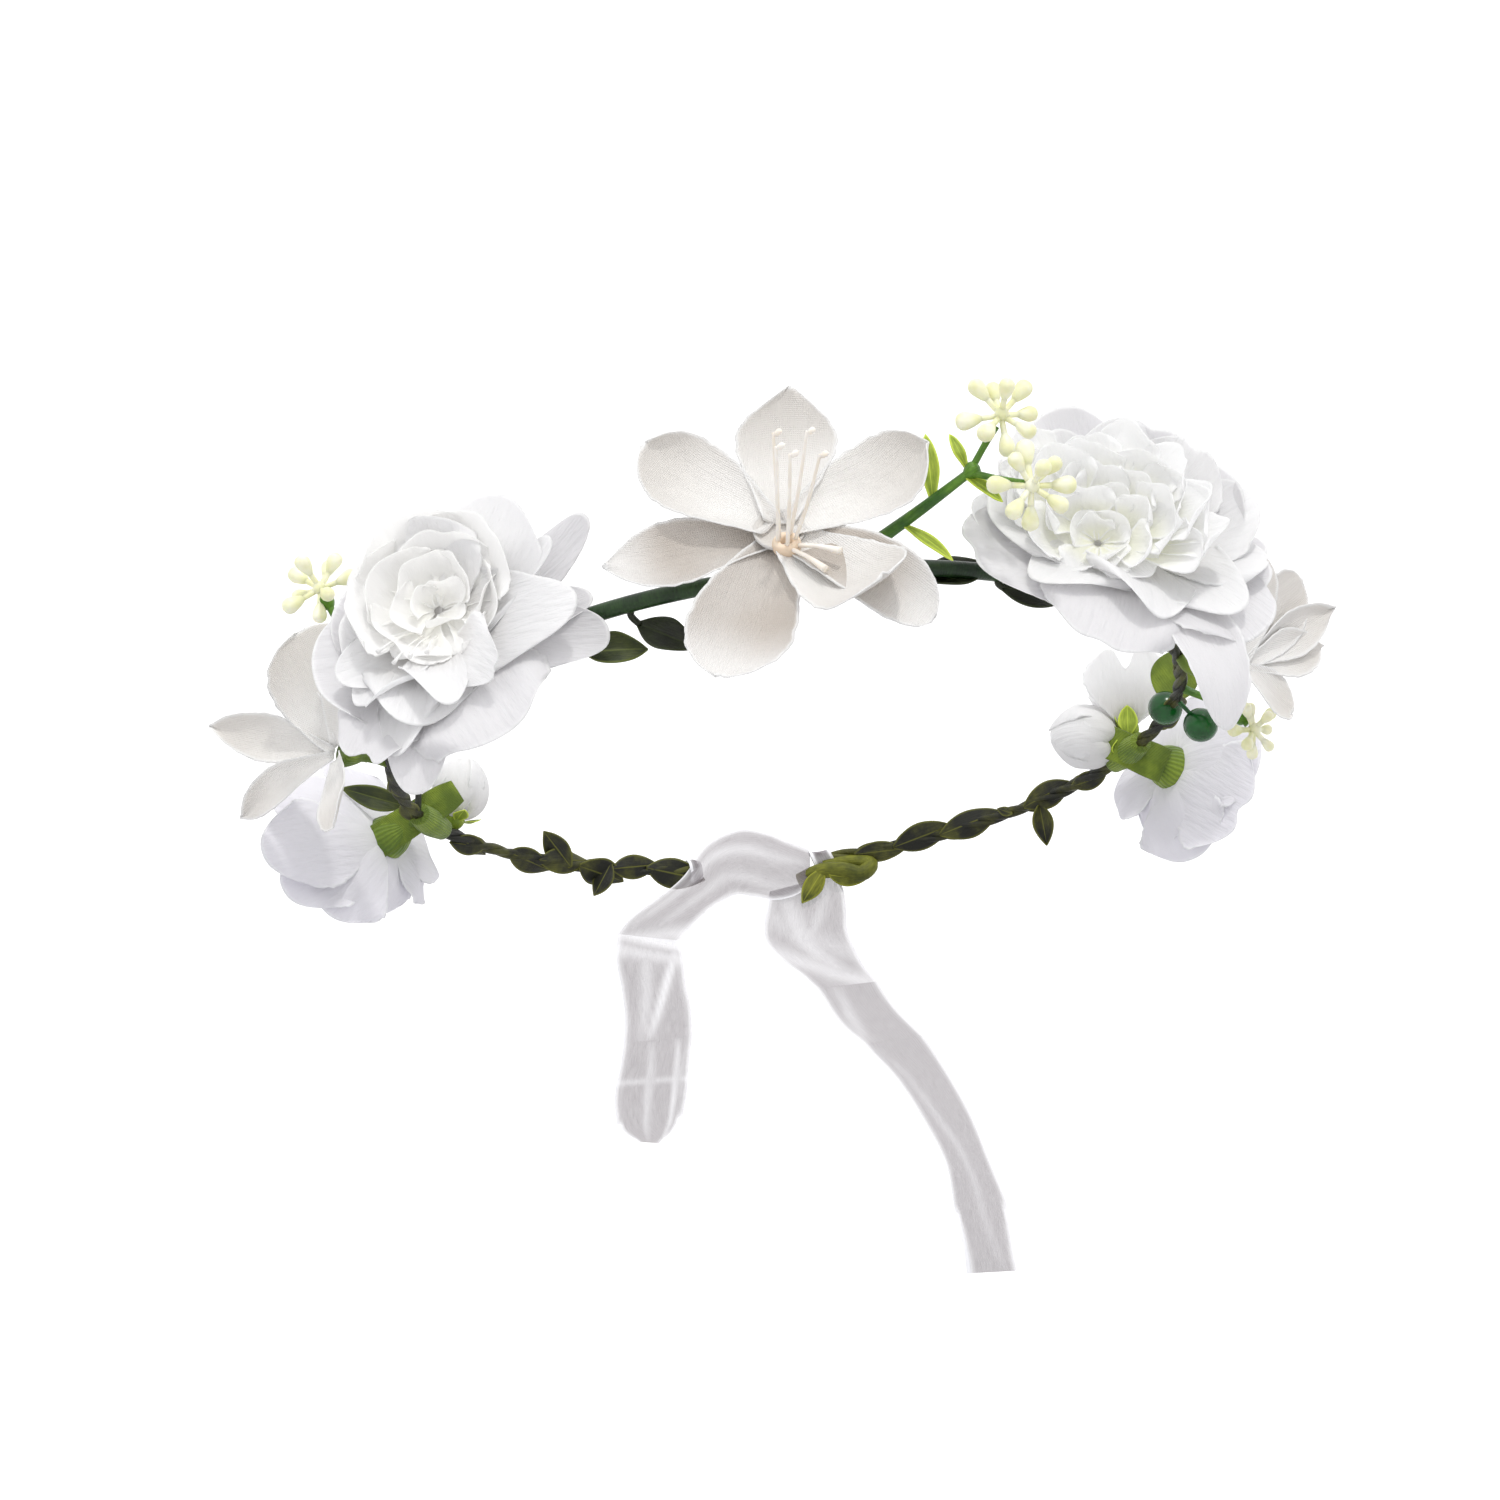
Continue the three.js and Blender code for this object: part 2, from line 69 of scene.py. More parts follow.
# ---- small maths -----------------------------------------------------------------
def unit(v):
    v = np.asarray(v, float)
    return v / np.linalg.norm(v)


def on_ring(deg, dr=0.0, dz=0.0):
    a = math.radians(deg)
    return np.array([(RING_R + dr) * math.sin(a), -(RING_R + dr) * math.cos(a), dz])


def aim(around, up):
    a, e = math.radians(around), math.radians(up)
    return np.array([math.cos(e) * math.sin(a), -math.cos(e) * math.cos(a), math.sin(e)])


def hermite(points, x):
    """A smooth curve through (x, y...) points, evaluated at x."""
    p = np.asarray(points, float)
    k, v = p[:, 0], p[:, 1:]
    m = np.gradient(v, k, axis=0) if len(k) > 2 else np.repeat((v[1:] - v[:-1]) / (k[1] - k[0]), 2, 0)
    x = np.clip(np.atleast_1d(x), k[0], k[-1])
    i = np.clip(np.searchsorted(k, x, side="right") - 1, 0, len(k) - 2)
    h = (k[i + 1] - k[i])
    t = ((x - k[i]) / h)[:, None]
    h = h[:, None]
    y = ((2 * t**3 - 3 * t**2 + 1) * v[i] + (t**3 - 2 * t**2 + t) * h * m[i]
         + (-2 * t**3 + 3 * t**2) * v[i + 1] + (t**3 - t**2) * h * m[i + 1])
    return y[:, 0] if y.shape[1] == 1 else y


class Spot:
    """A flower's own frame: its axis n, and up and right seen from in front of it."""

    def __init__(self, point, axis):
        self.p, self.n = np.asarray(point, float), unit(axis)
        up = np.array([0, 0, 1.0]) - self.n[2] * self.n
        self.up = unit(up)
        self.rt = np.cross(self.up, self.n)

    def out(self, clock):
        a = math.radians(clock)
        return math.cos(a) * self.up + math.sin(a) * self.rt

    def at(self, clock, rho, h):
        return self.p + rho * self.out(clock) + h * self.n


# ---- meshes ----------------------------------------------------------------------
class Builder:
    """Collects grids into one mesh, with a uv in millimetres and two marks: rim, which
    is 1 along a cut edge, and tone, which is 0 at a petal's foot and 1 at its tip."""

    def __init__(self):
        self.v, self.f, self.uv, self.rim, self.tone, self.n = [], [], [], [], [], 0

    def grid(self, pts, uv=None, rim=None, tone=None, wrap=False):
        nu, nv = pts.shape[:2]
        self.v.append(pts.reshape(-1, 3))
        zero = np.zeros((nu, nv))
        uv = np.stack([zero, zero], -1) if uv is None else uv
        self.uv.append(uv.reshape(-1, 2))
        self.rim.append((zero if rim is None else rim).reshape(-1))
        self.tone.append((zero if tone is None else tone).reshape(-1))
        i, j = np.meshgrid(np.arange(nu if wrap else nu - 1), np.arange(nv - 1), indexing="ij")
        i2 = (i + 1) % nu
        quad = np.stack([i * nv + j, i2 * nv + j, i2 * nv + j + 1, i * nv + j + 1], -1)
        self.f.append(quad.reshape(-1, 4) + self.n)
        self.n += nu * nv

    def make(self, name, material, thick=0.0):
        v = np.concatenate(self.v) * MM
        f = np.concatenate(self.f)
        mesh = bpy.data.meshes.new(name)
        mesh.from_pydata(v.tolist(), [], f.tolist())
        uv, rim, tone = np.concatenate(self.uv), np.concatenate(self.rim), np.concatenate(self.tone)
        layer = mesh.uv_layers.new(name="cloth")
        loops = np.zeros(len(mesh.loops), dtype=np.int32)
        mesh.loops.foreach_get("vertex_index", loops)
        layer.data.foreach_set("uv", uv[loops].astype(np.float32).ravel())
        for key, value in (("rim", rim), ("tone", tone)):
            mark = mesh.attributes.new(key, "FLOAT", "POINT")
            mark.data.foreach_set("value", value.astype(np.float32))
        mesh.polygons.foreach_set("use_smooth", np.full(len(mesh.polygons), True))
        mesh.materials.append(material)
        mesh.validate()
        obj = bpy.data.objects.new(name, mesh)
        SCENE.collection.objects.link(obj)
        if thick:
            mod = obj.modifiers.new("thickness", "SOLIDIFY")
            mod.thickness = thick * MM
            mod.offset = 0.0
        return obj

    def finish(self, name, material, node=None, slot=None, thick=0.0):
        """Makes the piece, which rides on the wreath and may stand for a CAD node."""
        obj = self.make(name, M[material], thick)
        if node:
            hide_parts(node)
        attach(obj, "wreath")


# half widths of petals and leaves, as (place along, share of the full width)
OUTLINES = {
    "lily": [(0, 0.34), (0.12, 0.52), (0.3, 0.8), (0.5, 1), (0.68, 0.94), (0.84, 0.62), (0.95, 0.24),
             (1, 0.02)],
    "boat": [(0, 0.36), (0.15, 0.6), (0.35, 0.88), (0.55, 1), (0.75, 0.95), (0.9, 0.68), (0.97, 0.38),
             (1, 0.1)],
    "round": [(0, 0.16), (0.15, 0.42), (0.4, 0.8), (0.65, 1.0), (0.85, 0.98), (1, 0.86)],
    "narrow": [(0, 0.24), (0.2, 0.62), (0.45, 1.0), (0.7, 0.86), (0.9, 0.45), (1, 0.04)],
    "lens": [(0, 0.12), (0.2, 0.7), (0.45, 1.0), (0.7, 0.8), (0.9, 0.36), (1, 0.03)],
    "strap": [(0, 0.7), (0.1, 0.84), (0.5, 0.94), (0.95, 1.0), (1, 0.98)],
}


def petal(build, spot, clock, rho, h, width, foot=(2.0, 1.0), kind="round", rise=30.0, dip=20.0,
          pull=(0.42, 0.36), wrap=22.0, flat_tip=0.55, roll=0.0, ruffle=0.5, notch=0.0, fan=0.3, twist=0.0,
          lean=0.0, seed=0, n=(19, 25)):
    """One petal from its foot near the axis to a tip at clock, rho and h. It leaves its
    foot at the rise angle above the flower's plane and arrives at its tip at the dip
    angle. wrap bends it across, less so at its tip by flat_tip. roll turns its edges
    back, ruffle waves them, notch cuts the tip in and fan rounds its corners off."""
    rng = np.random.default_rng(seed)
    nu, nv = n
    start, end = spot.at(clock - lean, foot[0], foot[1]), spot.at(clock, rho, h)
    chord = end - start
    length = np.linalg.norm(chord)
    flat = chord - (chord @ spot.n) * spot.n
    ahead = unit(flat) if np.linalg.norm(flat) > 0.3 * rho + 0.5 else spot.out(clock)
    side = unit(np.cross(ahead, spot.n))
    leave = math.cos(math.radians(rise)) * ahead + math.sin(math.radians(rise)) * spot.n
    arrive = math.cos(math.radians(dip)) * ahead + math.sin(math.radians(dip)) * spot.n
    c1, c2 = start + pull[0] * length * leave, end - pull[1] * length * arrive
    # the grid's lines crowd a little towards the edges and the tip
    lin_t, lin_s = np.linspace(-1, 1, nu), np.linspace(0, 1, nv)
    t = (0.6 * lin_t + 0.4 * np.sin(lin_t * math.pi / 2))[:, None]
    s = (0.7 * lin_s + 0.3 * np.sin(lin_s * math.pi / 2))[None, :]
    w = hermite(OUTLINES[kind], s.ravel())[None, :] * width / 2
    reach = s * (1 - fan * np.abs(t) ** 2.4 * s**0.6) if kind == "round" else s + 0 * t
    if notch:
        reach = reach * (1 - notch * np.exp(-((t / NOTCH_WIDTH) ** 2)) * s**3)
    q = reach[..., None]
    centre = (1 - q) ** 3 * start + 3 * (1 - q) ** 2 * q * c1 + 3 * (1 - q) * q * q * c2 + q**3 * end
    tangent = (1 - q) ** 2 * (c1 - start) + 2 * (1 - q) * q * (c2 - c1) + q * q * (end - c2)
    tangent = tangent / np.linalg.norm(tangent, axis=-1, keepdims=True)
    across = np.broadcast_to(side, tangent.shape)
    normal = np.cross(across, tangent)
    if twist:
        turn = np.radians(twist) * q
        across, normal = (across * np.cos(turn) + normal * np.sin(turn),
                          normal * np.cos(turn) - across * np.sin(turn))
    # across, a petal is part of a circle of radius r
    bend = math.radians(max(wrap, 1.0)) * (flat_tip + (1 - flat_tip) * (1 - s))
    r = w / bend
    x, y = r * np.sin(t * bend), r * (1 - np.cos(t * bend))
    # a long and a short wave along the edges, and two more that grow towards the tip
    p1, p2, p3, p4 = rng.uniform(0, 2 * math.pi, 4)
    k1, k2 = rng.uniform(1.6, 2.6), rng.uniform(3.2, 5.0)
    edge = np.abs(t) ** 1.6 * (0.35 + 0.65 * s)
    wave = (np.sin(k1 * math.pi * s + p1 + 1.2 * t) * edge + 0.5 * np.sin(k2 * math.pi * s + p2 - t) * edge
            + 0.6 * np.sin(2.2 * t * math.pi / 2 + p3) * s**3 + 0.35 * np.sin(4.4 * t + p4) * s**4)
    y = y + ruffle * wave * (0.3 + 0.7 * s) - roll * np.maximum(np.abs(t) - 0.6, 0) ** 2 * w * 2 * s
    at_edge = np.abs(t) > CUT_EDGE
    jag = 1 + 0.012 * np.sin(37 * s + p1) * at_edge + 0.01 * np.sin(61 * s + p2) * at_edge
    pts = centre + across * (x * jag)[..., None] + normal * y[..., None]
    uv = np.stack([t * w, reach * length], -1) / 10.0 + rng.uniform(0, 9, 2)
    inside = np.minimum((1 - np.abs(t)) * w, (1 - s) * length + 0 * t)
    build.grid(pts, uv, np.exp(-inside / RIM_FADE), s + 0 * t)


def whorl(build, spot, columns, rows, seed, foot, foot_step=0.0, **common):
    """A ring of petals. Each row gives one petal's values for the named columns, and
    each petal's foot is foot_step above the one before."""
    for k, row in enumerate(rows):
        own = dict(zip(columns.split(), row))
        petal(build, spot, foot=(foot[0], foot[1] + foot_step * k), seed=seed + k, **own, **common)


def tube(build, points, radius, sides=12, steps=None, uvs=1.0):
    """A round tube through points. radius is one number, or (0..1, radius) pairs."""
    p = np.asarray(points, float)
    key = np.r_[0, np.cumsum(np.linalg.norm(np.diff(p, axis=0), axis=1))]
    key /= key[-1]
    steps = steps or max(6, 4 * len(p))
    s = np.linspace(0, 1, steps)
    c = hermite(np.c_[key, p], s)
    tan = np.gradient(c, axis=0)
    tan /= np.linalg.norm(tan, axis=1, keepdims=True)
    ref = np.array([0, 0, 1.0]) if abs(tan[0][2]) < 0.9 else np.array([1.0, 0, 0])
    nrm = []
    v = unit(np.cross(tan[0], np.cross(ref, tan[0])))
    for k in range(steps):
        v = unit(v - tan[k] * (v @ tan[k]))
        nrm.append(v)
    nrm = np.array(nrm)
    bi = np.cross(tan, nrm)
    rad = np.full(steps, float(radius)) if np.isscalar(radius) else hermite(radius, s)
    # each end is repeated with almost no radius, which closes it
    c, nrm, bi, s = (np.concatenate([row[:1], row, row[-1:]]) for row in (c, nrm, bi, s))
    rad = np.concatenate([[CLOSED_R], rad, [CLOSED_R]])
    a = np.linspace(0, 2 * math.pi, sides, endpoint=False)
    pts = c[None] + rad[None, :, None] * (np.cos(a)[:, None, None] * nrm[None]
                                          + np.sin(a)[:, None, None] * bi[None])
    uv = np.stack(np.broadcast_arrays(a[:, None] / (2 * math.pi), s[None, :] * uvs), -1)
    build.grid(pts, uv, None, np.broadcast_to(s[None], pts.shape[:2]), wrap=True)


def lathe(build, spot, profile, sides=24, steps=None):
    """A turned shape round the spot's axis from (radius, height) pairs."""
    prof = np.asarray(profile, float)
    if steps:
        k = np.linspace(0, 1, len(prof))
        prof = hermite(np.c_[k, prof], np.linspace(0, 1, steps))
    a = np.linspace(0, 2 * math.pi, sides, endpoint=False)
    r = np.maximum(prof[None, :, 0], CLOSED_R)
    pts = (spot.p + r[..., None] * (np.cos(a)[:, None, None] * spot.up + np.sin(a)[:, None, None] * spot.rt)
           + prof[None, :, 1, None] * spot.n)
    t = np.broadcast_to(np.linspace(0, 1, len(prof))[None], pts.shape[:2])
    uv = np.stack([np.broadcast_to(a[:, None] / (2 * math.pi), t.shape), t], -1)
    build.grid(pts, uv, None, t, wrap=True)


def blob(build, centre, axis, length, radius, shape=DROP, sides=14):
    """A closed drop from centre along axis."""
    lathe(build, Spot(centre, axis), [(radius * r, length * s) for s, r in shape], sides, 13)


def to_ring(point):
    """A place just inside the vine's skin, on the side that faces the point."""
    centre = on_ring(math.degrees(math.atan2(point[0], -point[1])))
    return centre + unit(np.asarray(point, float) - centre)


def stalk(build, point, axis, radius=1.0):
    """A stalk from the vine to a foot, arriving along axis."""
    point, axis = np.asarray(point, float), unit(axis)
    start = to_ring(point)
    gap = np.linalg.norm(point - start)
    if gap > SHORTEST_STALK:
        middle = (start + point) / 2 - 0.25 * gap * axis
        tube(build, [start, middle, point + 0.5 * axis], [(0, radius * 1.2), (1, radius)], 10, 12)


def leaf(build, start, direction, face, length, width, bend=0.15, fold=0.25, twist=0.0, n=(13, 19), seed=0,
         kind="narrow"):
    """A leaf along direction with its upper side to face. bend curls it down along its
    length, fold lifts its two halves and twist turns it towards its tip."""
    rng = np.random.default_rng(seed)
    d, f = unit(direction), np.asarray(face, float)
    side = unit(np.cross(d, f))
    up = np.cross(side, d)
    t = np.linspace(-1, 1, n[0])[:, None]
    s = np.linspace(0, 1, n[1])[None]
    w = hermite(OUTLINES[kind], s.ravel())[None] * width / 2
    turn = np.radians(twist) * s
    wave = 0.04 * width * np.sin(5 * s * math.pi / 2 + rng.uniform(0, 6))
    x, y = t * w, (fold * w + wave) * np.abs(t)
    px, py = x * np.cos(turn) - y * np.sin(turn), x * np.sin(turn) + y * np.cos(turn)
    pts = (np.asarray(start, float) + (s + 0 * t)[..., None] * length * d + px[..., None] * side
           + (py - bend * length * s**2)[..., None] * up)
    uv = np.stack([x + 0 * s, s * length + 0 * t], -1) / 10.0
    rim = np.exp(-((1 - np.abs(t)) * w) / 0.5)
    tone = np.abs(t) + 0 * s
    build.grid(pts, uv, rim, tone)


# ---- materials -------------------------------------------------------------------
WHITE, WARM_WHITE = (1.0, 1.0, 1.0), (1.0, 1.0, 0.99)


def nodes_for(name):
    mat = bpy.data.materials.new(name)
    mat.use_nodes = True
    nt = mat.node_tree
    return mat, nt, nt.nodes["Principled BSDF"], nt.nodes["Material Output"]


def wire(nt, node, values):
    """Sets a node's inputs, each to a value or to what another node gives."""
    for key, value in values.items():
        if isinstance(value, bpy.types.NodeSocket):
            nt.links.new(value, node.inputs[key])
        else:
            node.inputs[key].default_value = value


def add(nt, kind, values, output=0, **props):
    node = nt.nodes.new(kind)
    for key, value in props.items():
        setattr(node, key, value)
    wire(nt, node, values)
    return node.outputs[output]


def mix_colour(nt, share, base, other):
    base, other = ((*c, 1.0) if isinstance(c, tuple) else c for c in (base, other))
    return add(nt, "ShaderNodeMix", {0: share, 6: base, 7: other}, 2, data_type="RGBA")


def tint(colour, factor):
    return tuple(min(1.0, factor * c) for c in colour)


def ramp(nt, source, low, high, out=(0.0, 1.0)):
    """A smooth step from the first out value, at low, to the second, at high."""
    values = dict(enumerate((source, low, high, *out)))
    return add(nt, "ShaderNodeMapRange", values, interpolation_type="SMOOTHSTEP")


def larger(nt, one, other):
    return add(nt, "ShaderNodeMath", {0: one, 1: other}, operation="MAXIMUM")


def noise(nt, coord, scale, detail=3.0, rough=0.5, stretch=None):
    if stretch:
        coord = add(nt, "ShaderNodeMapping", {"Vector": coord, "Scale": stretch})
    values = {"Vector": coord, "Scale": scale, "Detail": detail, "Roughness": rough}
    return add(nt, "ShaderNodeTexNoise", values)


def bands(nt, coord, way, scale, distortion, detail):
    values = {"Vector": coord, "Scale": scale, "Distortion": distortion, "Detail": detail}
    return add(nt, "ShaderNodeTexWave", values, 1, wave_type="BANDS", bands_direction=way)


def weave(nt, coord, threads):
    """Two crossed sets of threads, per 10 mm, as one height."""
    across, along = (bands(nt, coord, way, threads, 1.2, 1.0) for way in "XY")
    return add(nt, "ShaderNodeMath", {0: across, 1: along}, operation="ADD")


def bump(nt, height, strength, distance, normal=None):
    values = {"Height": height, "Strength": strength, "Distance": distance * MM}
    if normal is not None:
        values["Normal"] = normal
    return add(nt, "ShaderNodeBump", values)


def attribute(nt, name):
    return add(nt, "ShaderNodeAttribute", {}, "Fac", attribute_name=name)


def uv_coord(nt):
    return add(nt, "ShaderNodeUVMap", {}, uv_map="cloth")


def object_coord(nt):
    return add(nt, "ShaderNodeTexCoord", {}, "Object")


def fabric(name, body, foot, glow, rim=WHITE, grain=0.12, threads=9.0, sheen=0.2, crease=0.4,
           foot_reach=0.4, foot_from=0.0, lift=0.0):
    """Petal cloth: the body colour goes over to foot near the middle, with a painted highlight
    along the cut rim, a fine weave, pressed creases along the petal and a share of light
    through it, which is glow. lift is a painted glow: an emission in the body colour that
    stands in for the light that close layers pass on to each other."""
    mat, nt, bsdf, out = nodes_for(name)
    uv = uv_coord(nt)
    cloud = noise(nt, object_coord(nt), 60.0, 2.0)
    # foot colour near the middle: in the lily cloth it is painted light, in the lily_back, outer and white
    # cloths painted shade
    base = mix_colour(nt, ramp(nt, attribute(nt, "tone"), foot_from, foot_reach, (1.0, 0.0)), body, foot)
    base = mix_colour(nt, ramp(nt, cloud, 0.35, 0.7, (0.0, 0.35)), base, tint(body, 0.93))
    # painted highlight: the rim colour brightens the cloth along its cut edges
    base = mix_colour(nt, ramp(nt, attribute(nt, "rim"), 0.12, 0.75, (0.0, 0.95)), base, rim)
    fibre = noise(nt, uv, 42.0, 4.0, 0.7)
    base = mix_colour(nt, ramp(nt, fibre, 0.3, 0.75, (0.0, 0.22)), base, tint(body, 0.86))
    height = bump(nt, noise(nt, uv, 2.6, 3.0, 0.55, (2.6, 0.4, 1.0)), crease, 1.6)
    height = bump(nt, weave(nt, uv, threads), grain, 0.10, height)
    height = bump(nt, fibre, grain, 0.16, height)
    # painted glow: the emission in the body colour, set by lift, brightens the cloth as if lit
    wire(nt, bsdf, {"Base Color": base, "Emission Color": (*body, 1.0), "Emission Strength": lift,
                    "Roughness": 0.82, "Sheen Weight": sheen, "Sheen Roughness": 0.45,
                    "Specular IOR Level": 0.25, "Normal": height})
    through = add(nt, "ShaderNodeBsdfTranslucent", {"Color": base, "Normal": height})
    both = add(nt, "ShaderNodeMixShader", {0: glow, 1: bsdf.outputs[0], 2: through})
    wire(nt, out, {0: both})
    return mat


def greenery(name, dark, light, rough=0.5, veins=True, spec=0.4, streak=(6.0, 0.6, 1.0),
             split=(0.3, 0.68)):
    """Leaf or stem: patches of dark and light, streaks along it, a lighter edge and, with
    veins, a lighter middle line."""
    mat, nt, bsdf, out = nodes_for(name)
    obj = object_coord(nt)
    base = mix_colour(nt, ramp(nt, noise(nt, obj, 110.0, 4.0, 0.6), *split), dark, light)
    line = noise(nt, uv_coord(nt), 5.0, 3.0, 0.6, streak)
    base = mix_colour(nt, ramp(nt, line, 0.35, 0.7, (0.0, 0.45)), base, tint(dark, 0.55))
    base = mix_colour(nt, ramp(nt, attribute(nt, "rim"), 0.2, 0.9, (0.0, 0.6)), base, tint(light, 2.0))
    if veins:
        mid = ramp(nt, attribute(nt, "tone"), 0.0, 0.09, (0.7, 0.0))
        base = mix_colour(nt, mid, base, tint(light, 1.6))
    height = bump(nt, noise(nt, obj, 900.0, 3.0, 0.6), 0.2, 0.15, bump(nt, line, 0.35, 0.5))
    wire(nt, bsdf, {"Base Color": base, "Roughness": rough, "Specular IOR Level": spec, "Normal": height})
    return mat


def plastic(name, colour, alt, rough=0.35, soft=0.15, scale=150.0):
    """Moulded plastic or wire with slightly uneven colour; soft lets light into it."""
    mat, nt, bsdf, out = nodes_for(name)
    obj = object_coord(nt)
    base = mix_colour(nt, ramp(nt, noise(nt, obj, scale, 2.0), 0.35, 0.7), colour, alt)
    wire(nt, bsdf, {"Base Color": base, "Roughness": rough, "Subsurface Weight": soft,
                    "Subsurface Radius": (0.003, 0.0025, 0.0015), "Subsurface Scale": 0.5,
                    "Normal": bump(nt, noise(nt, obj, 700.0, 2.0), 0.1, 0.2)})
    return mat


def crepe(name, dark, light):
    """Florist's tape: fine ribs round the wrap, with darker overlaps."""
    mat, nt, bsdf, out = nodes_for(name)
    ribs = bands(nt, uv_coord(nt), "X", 9.0, 1.5, 2.0)
    base = mix_colour(nt, ramp(nt, noise(nt, object_coord(nt), 160.0, 3.0), 0.3, 0.7), dark, light)
    base = mix_colour(nt, ramp(nt, ribs, 0.2, 0.8, (0.0, 0.35)), base, tint(dark, 0.6))
    wire(nt, bsdf, {"Base Color": base, "Roughness": 0.75, "Sheen Weight": 0.15,
                    "Normal": bump(nt, ribs, 0.6, 0.25)})
    return mat


def organza(name):
    """Sheer ribbon: you see through the open weave, less at its woven edges, which grow a
    painted glint towards the ribbon's ends, and less at its folds, which carry painted highlights.
    """
    mat, nt, bsdf, out = nodes_for(name)
    uv, edge, fold = uv_coord(nt), attribute(nt, "rim"), attribute(nt, "tone")
    streak = noise(nt, uv, 6.0, 3.0, 0.6, (5.0, 0.5, 1.0))
    base = mix_colour(nt, ramp(nt, streak, 0.35, 0.7), (0.155, 0.128, 0.143), (0.22, 0.192, 0.207))
    # the woven edges are lighter, and near a ribbon's end the widened edge adds a painted glint
    base = mix_colour(nt, edge, base, (0.95, 0.95, 0.98))
    # painted highlight: the fold mark (tone) makes the folds near white and less see-through
    base = mix_colour(nt, fold, base, (0.97, 0.97, 1.0))
    height = bump(nt, weave(nt, uv, 14.0), 0.35, 0.08, bump(nt, streak, 0.35, 0.4))
    cover = larger(nt, ramp(nt, edge, 0.1, 0.8, (0.0, 0.95)), ramp(nt, fold, 0.1, 0.9, (0.0, 0.92)))
    cover = larger(nt, cover, ramp(nt, streak, 0.3, 0.75, (0.66, 0.80)))
    wire(nt, bsdf, {"Base Color": base, "Roughness": 0.42, "Sheen Weight": 0.15, "Sheen Roughness": 0.3,
                    "Normal": height, "Alpha": cover})
    return mat


VELVET = dict(rim=WARM_WHITE, glow=0.2, crease=0.25, grain=0.6, threads=7.0, sheen=0.5)
M = {
    # painted shade and light: the tan body darkens the lily's outer petal halves and the near-white foot
    # brightens them round the hub
    "lily": fabric("ivory_velvet", (0.835, 0.805, 0.765), (0.985, 0.975, 0.955),
                   foot_reach=0.9, foot_from=0.15, **VELVET),
    # painted shadow: the dark tan foot, reaching past mid-petal, is the shade the front petals cast on the
    # back ones
    "lily_back": fabric("ivory_velvet_shaded", (0.92, 0.905, 0.885), (0.60, 0.54, 0.48),
                        foot_reach=0.95, foot_from=0.5, **VELVET),
    # a painted-shade copy of the white cloth for the outer petals that face down: greyer body and a darker
    # foot near the middle
    "outer": fabric("outer_cloth_painted_shade", (0.875, 0.868, 0.878), (0.80, 0.78, 0.765), 0.40, foot_reach=0.7),
    # painted shade: the beige foot darkens the petals near their middle
    "white": fabric("white_cloth", (0.98, 0.978, 0.98), (0.91, 0.895, 0.878), 0.44, foot_reach=0.7),
    # painted glow: lift makes the warm and eye cloths give off a little light of their own
    "warm": fabric("warm_cloth", (0.995, 0.992, 0.985), (0.99, 0.985, 0.95), 0.5, WARM_WHITE,
                   crease=0.2, foot_reach=0.8, lift=0.085),
    "eye": fabric("eye_cloth", (0.99, 0.99, 0.99), (0.97, 0.975, 0.83), 0.5,
                  crease=0.3, foot_reach=0.75, lift=0.07),
    "cool": fabric("cool_cloth", (0.89, 0.88, 0.92), (0.93, 0.93, 0.94), 0.25, (0.98, 0.98, 1.0),
                   crease=0.35),
    "leaf": greenery("olive_leaf", (0.018, 0.028, 0.006), (0.075, 0.095, 0.014), rough=0.42),
    "vine": greenery("paper_vine", (0.006, 0.007, 0.002), (0.085, 0.088, 0.010), spec=0.35,
                     split=(0.42, 0.74)),
    "dark": greenery("near_black_leaf", (0.004, 0.006, 0.002), (0.02, 0.028, 0.006), rough=0.35),
    "curl": greenery("bright_vine", (0.05, 0.06, 0.004), (0.20, 0.21, 0.02), rough=0.6, spec=0.3),
    "ribbed": crepe("ribbed_leaf", (0.10, 0.16, 0.006), (0.24, 0.33, 0.02)),
    "stem": greenery("green_stem", (0.005, 0.020, 0.005), (0.022, 0.062, 0.012), rough=0.33, veins=False,
                     streak=(1.0, 5.0, 1.0)),
    "sprig_green": greenery("sprig_green", (0.035, 0.12, 0.012), (0.12, 0.27, 0.02), rough=0.35, veins=False),
    "lime": greenery("lime_leaf", (0.20, 0.30, 0.02), (0.42, 0.52, 0.06)),
    "tape": crepe("crepe_tape", (0.085, 0.15, 0.008), (0.22, 0.31, 0.025)),
    "hub": plastic("hub_cream", (0.78, 0.62, 0.46), (0.90, 0.80, 0.68), rough=0.5),
    "filament": plastic("filament_cream", (0.86, 0.79, 0.70), (0.94, 0.90, 0.84), rough=0.45),
    "sprig": plastic("sprig_cream", (0.80, 0.80, 0.48), (0.92, 0.91, 0.72), rough=0.38, soft=0.25,
                     scale=220.0),
    "bead": plastic("bead_green", (0.002, 0.045, 0.006), (0.005, 0.10, 0.014), rough=0.22, soft=0.0),
    "organza": organza("organza"),
    "wire": plastic("wire_iron", (0.10, 0.10, 0.11), (0.16, 0.16, 0.17), rough=0.4, soft=0.0),
}


# ---- flowers ---------------------------------------------------------------------
FULL_PETAL = "clock rho h width rise dip wrap roll fan twist notch"
HEART_PETAL = "clock rho h width dip twist"


def calyx(name, node, spot, profile, foot_h, foot_r, sides=20, steps=16):
    """The green cup behind a flower, on a stalk from the vine to its foot."""
    b = Builder()
    lathe(b, spot, profile, sides, steps)
    stalk(b, spot.at(0, 0, foot_h), spot.n, foot_r)
    b.finish(name, "tape", node, "lime")


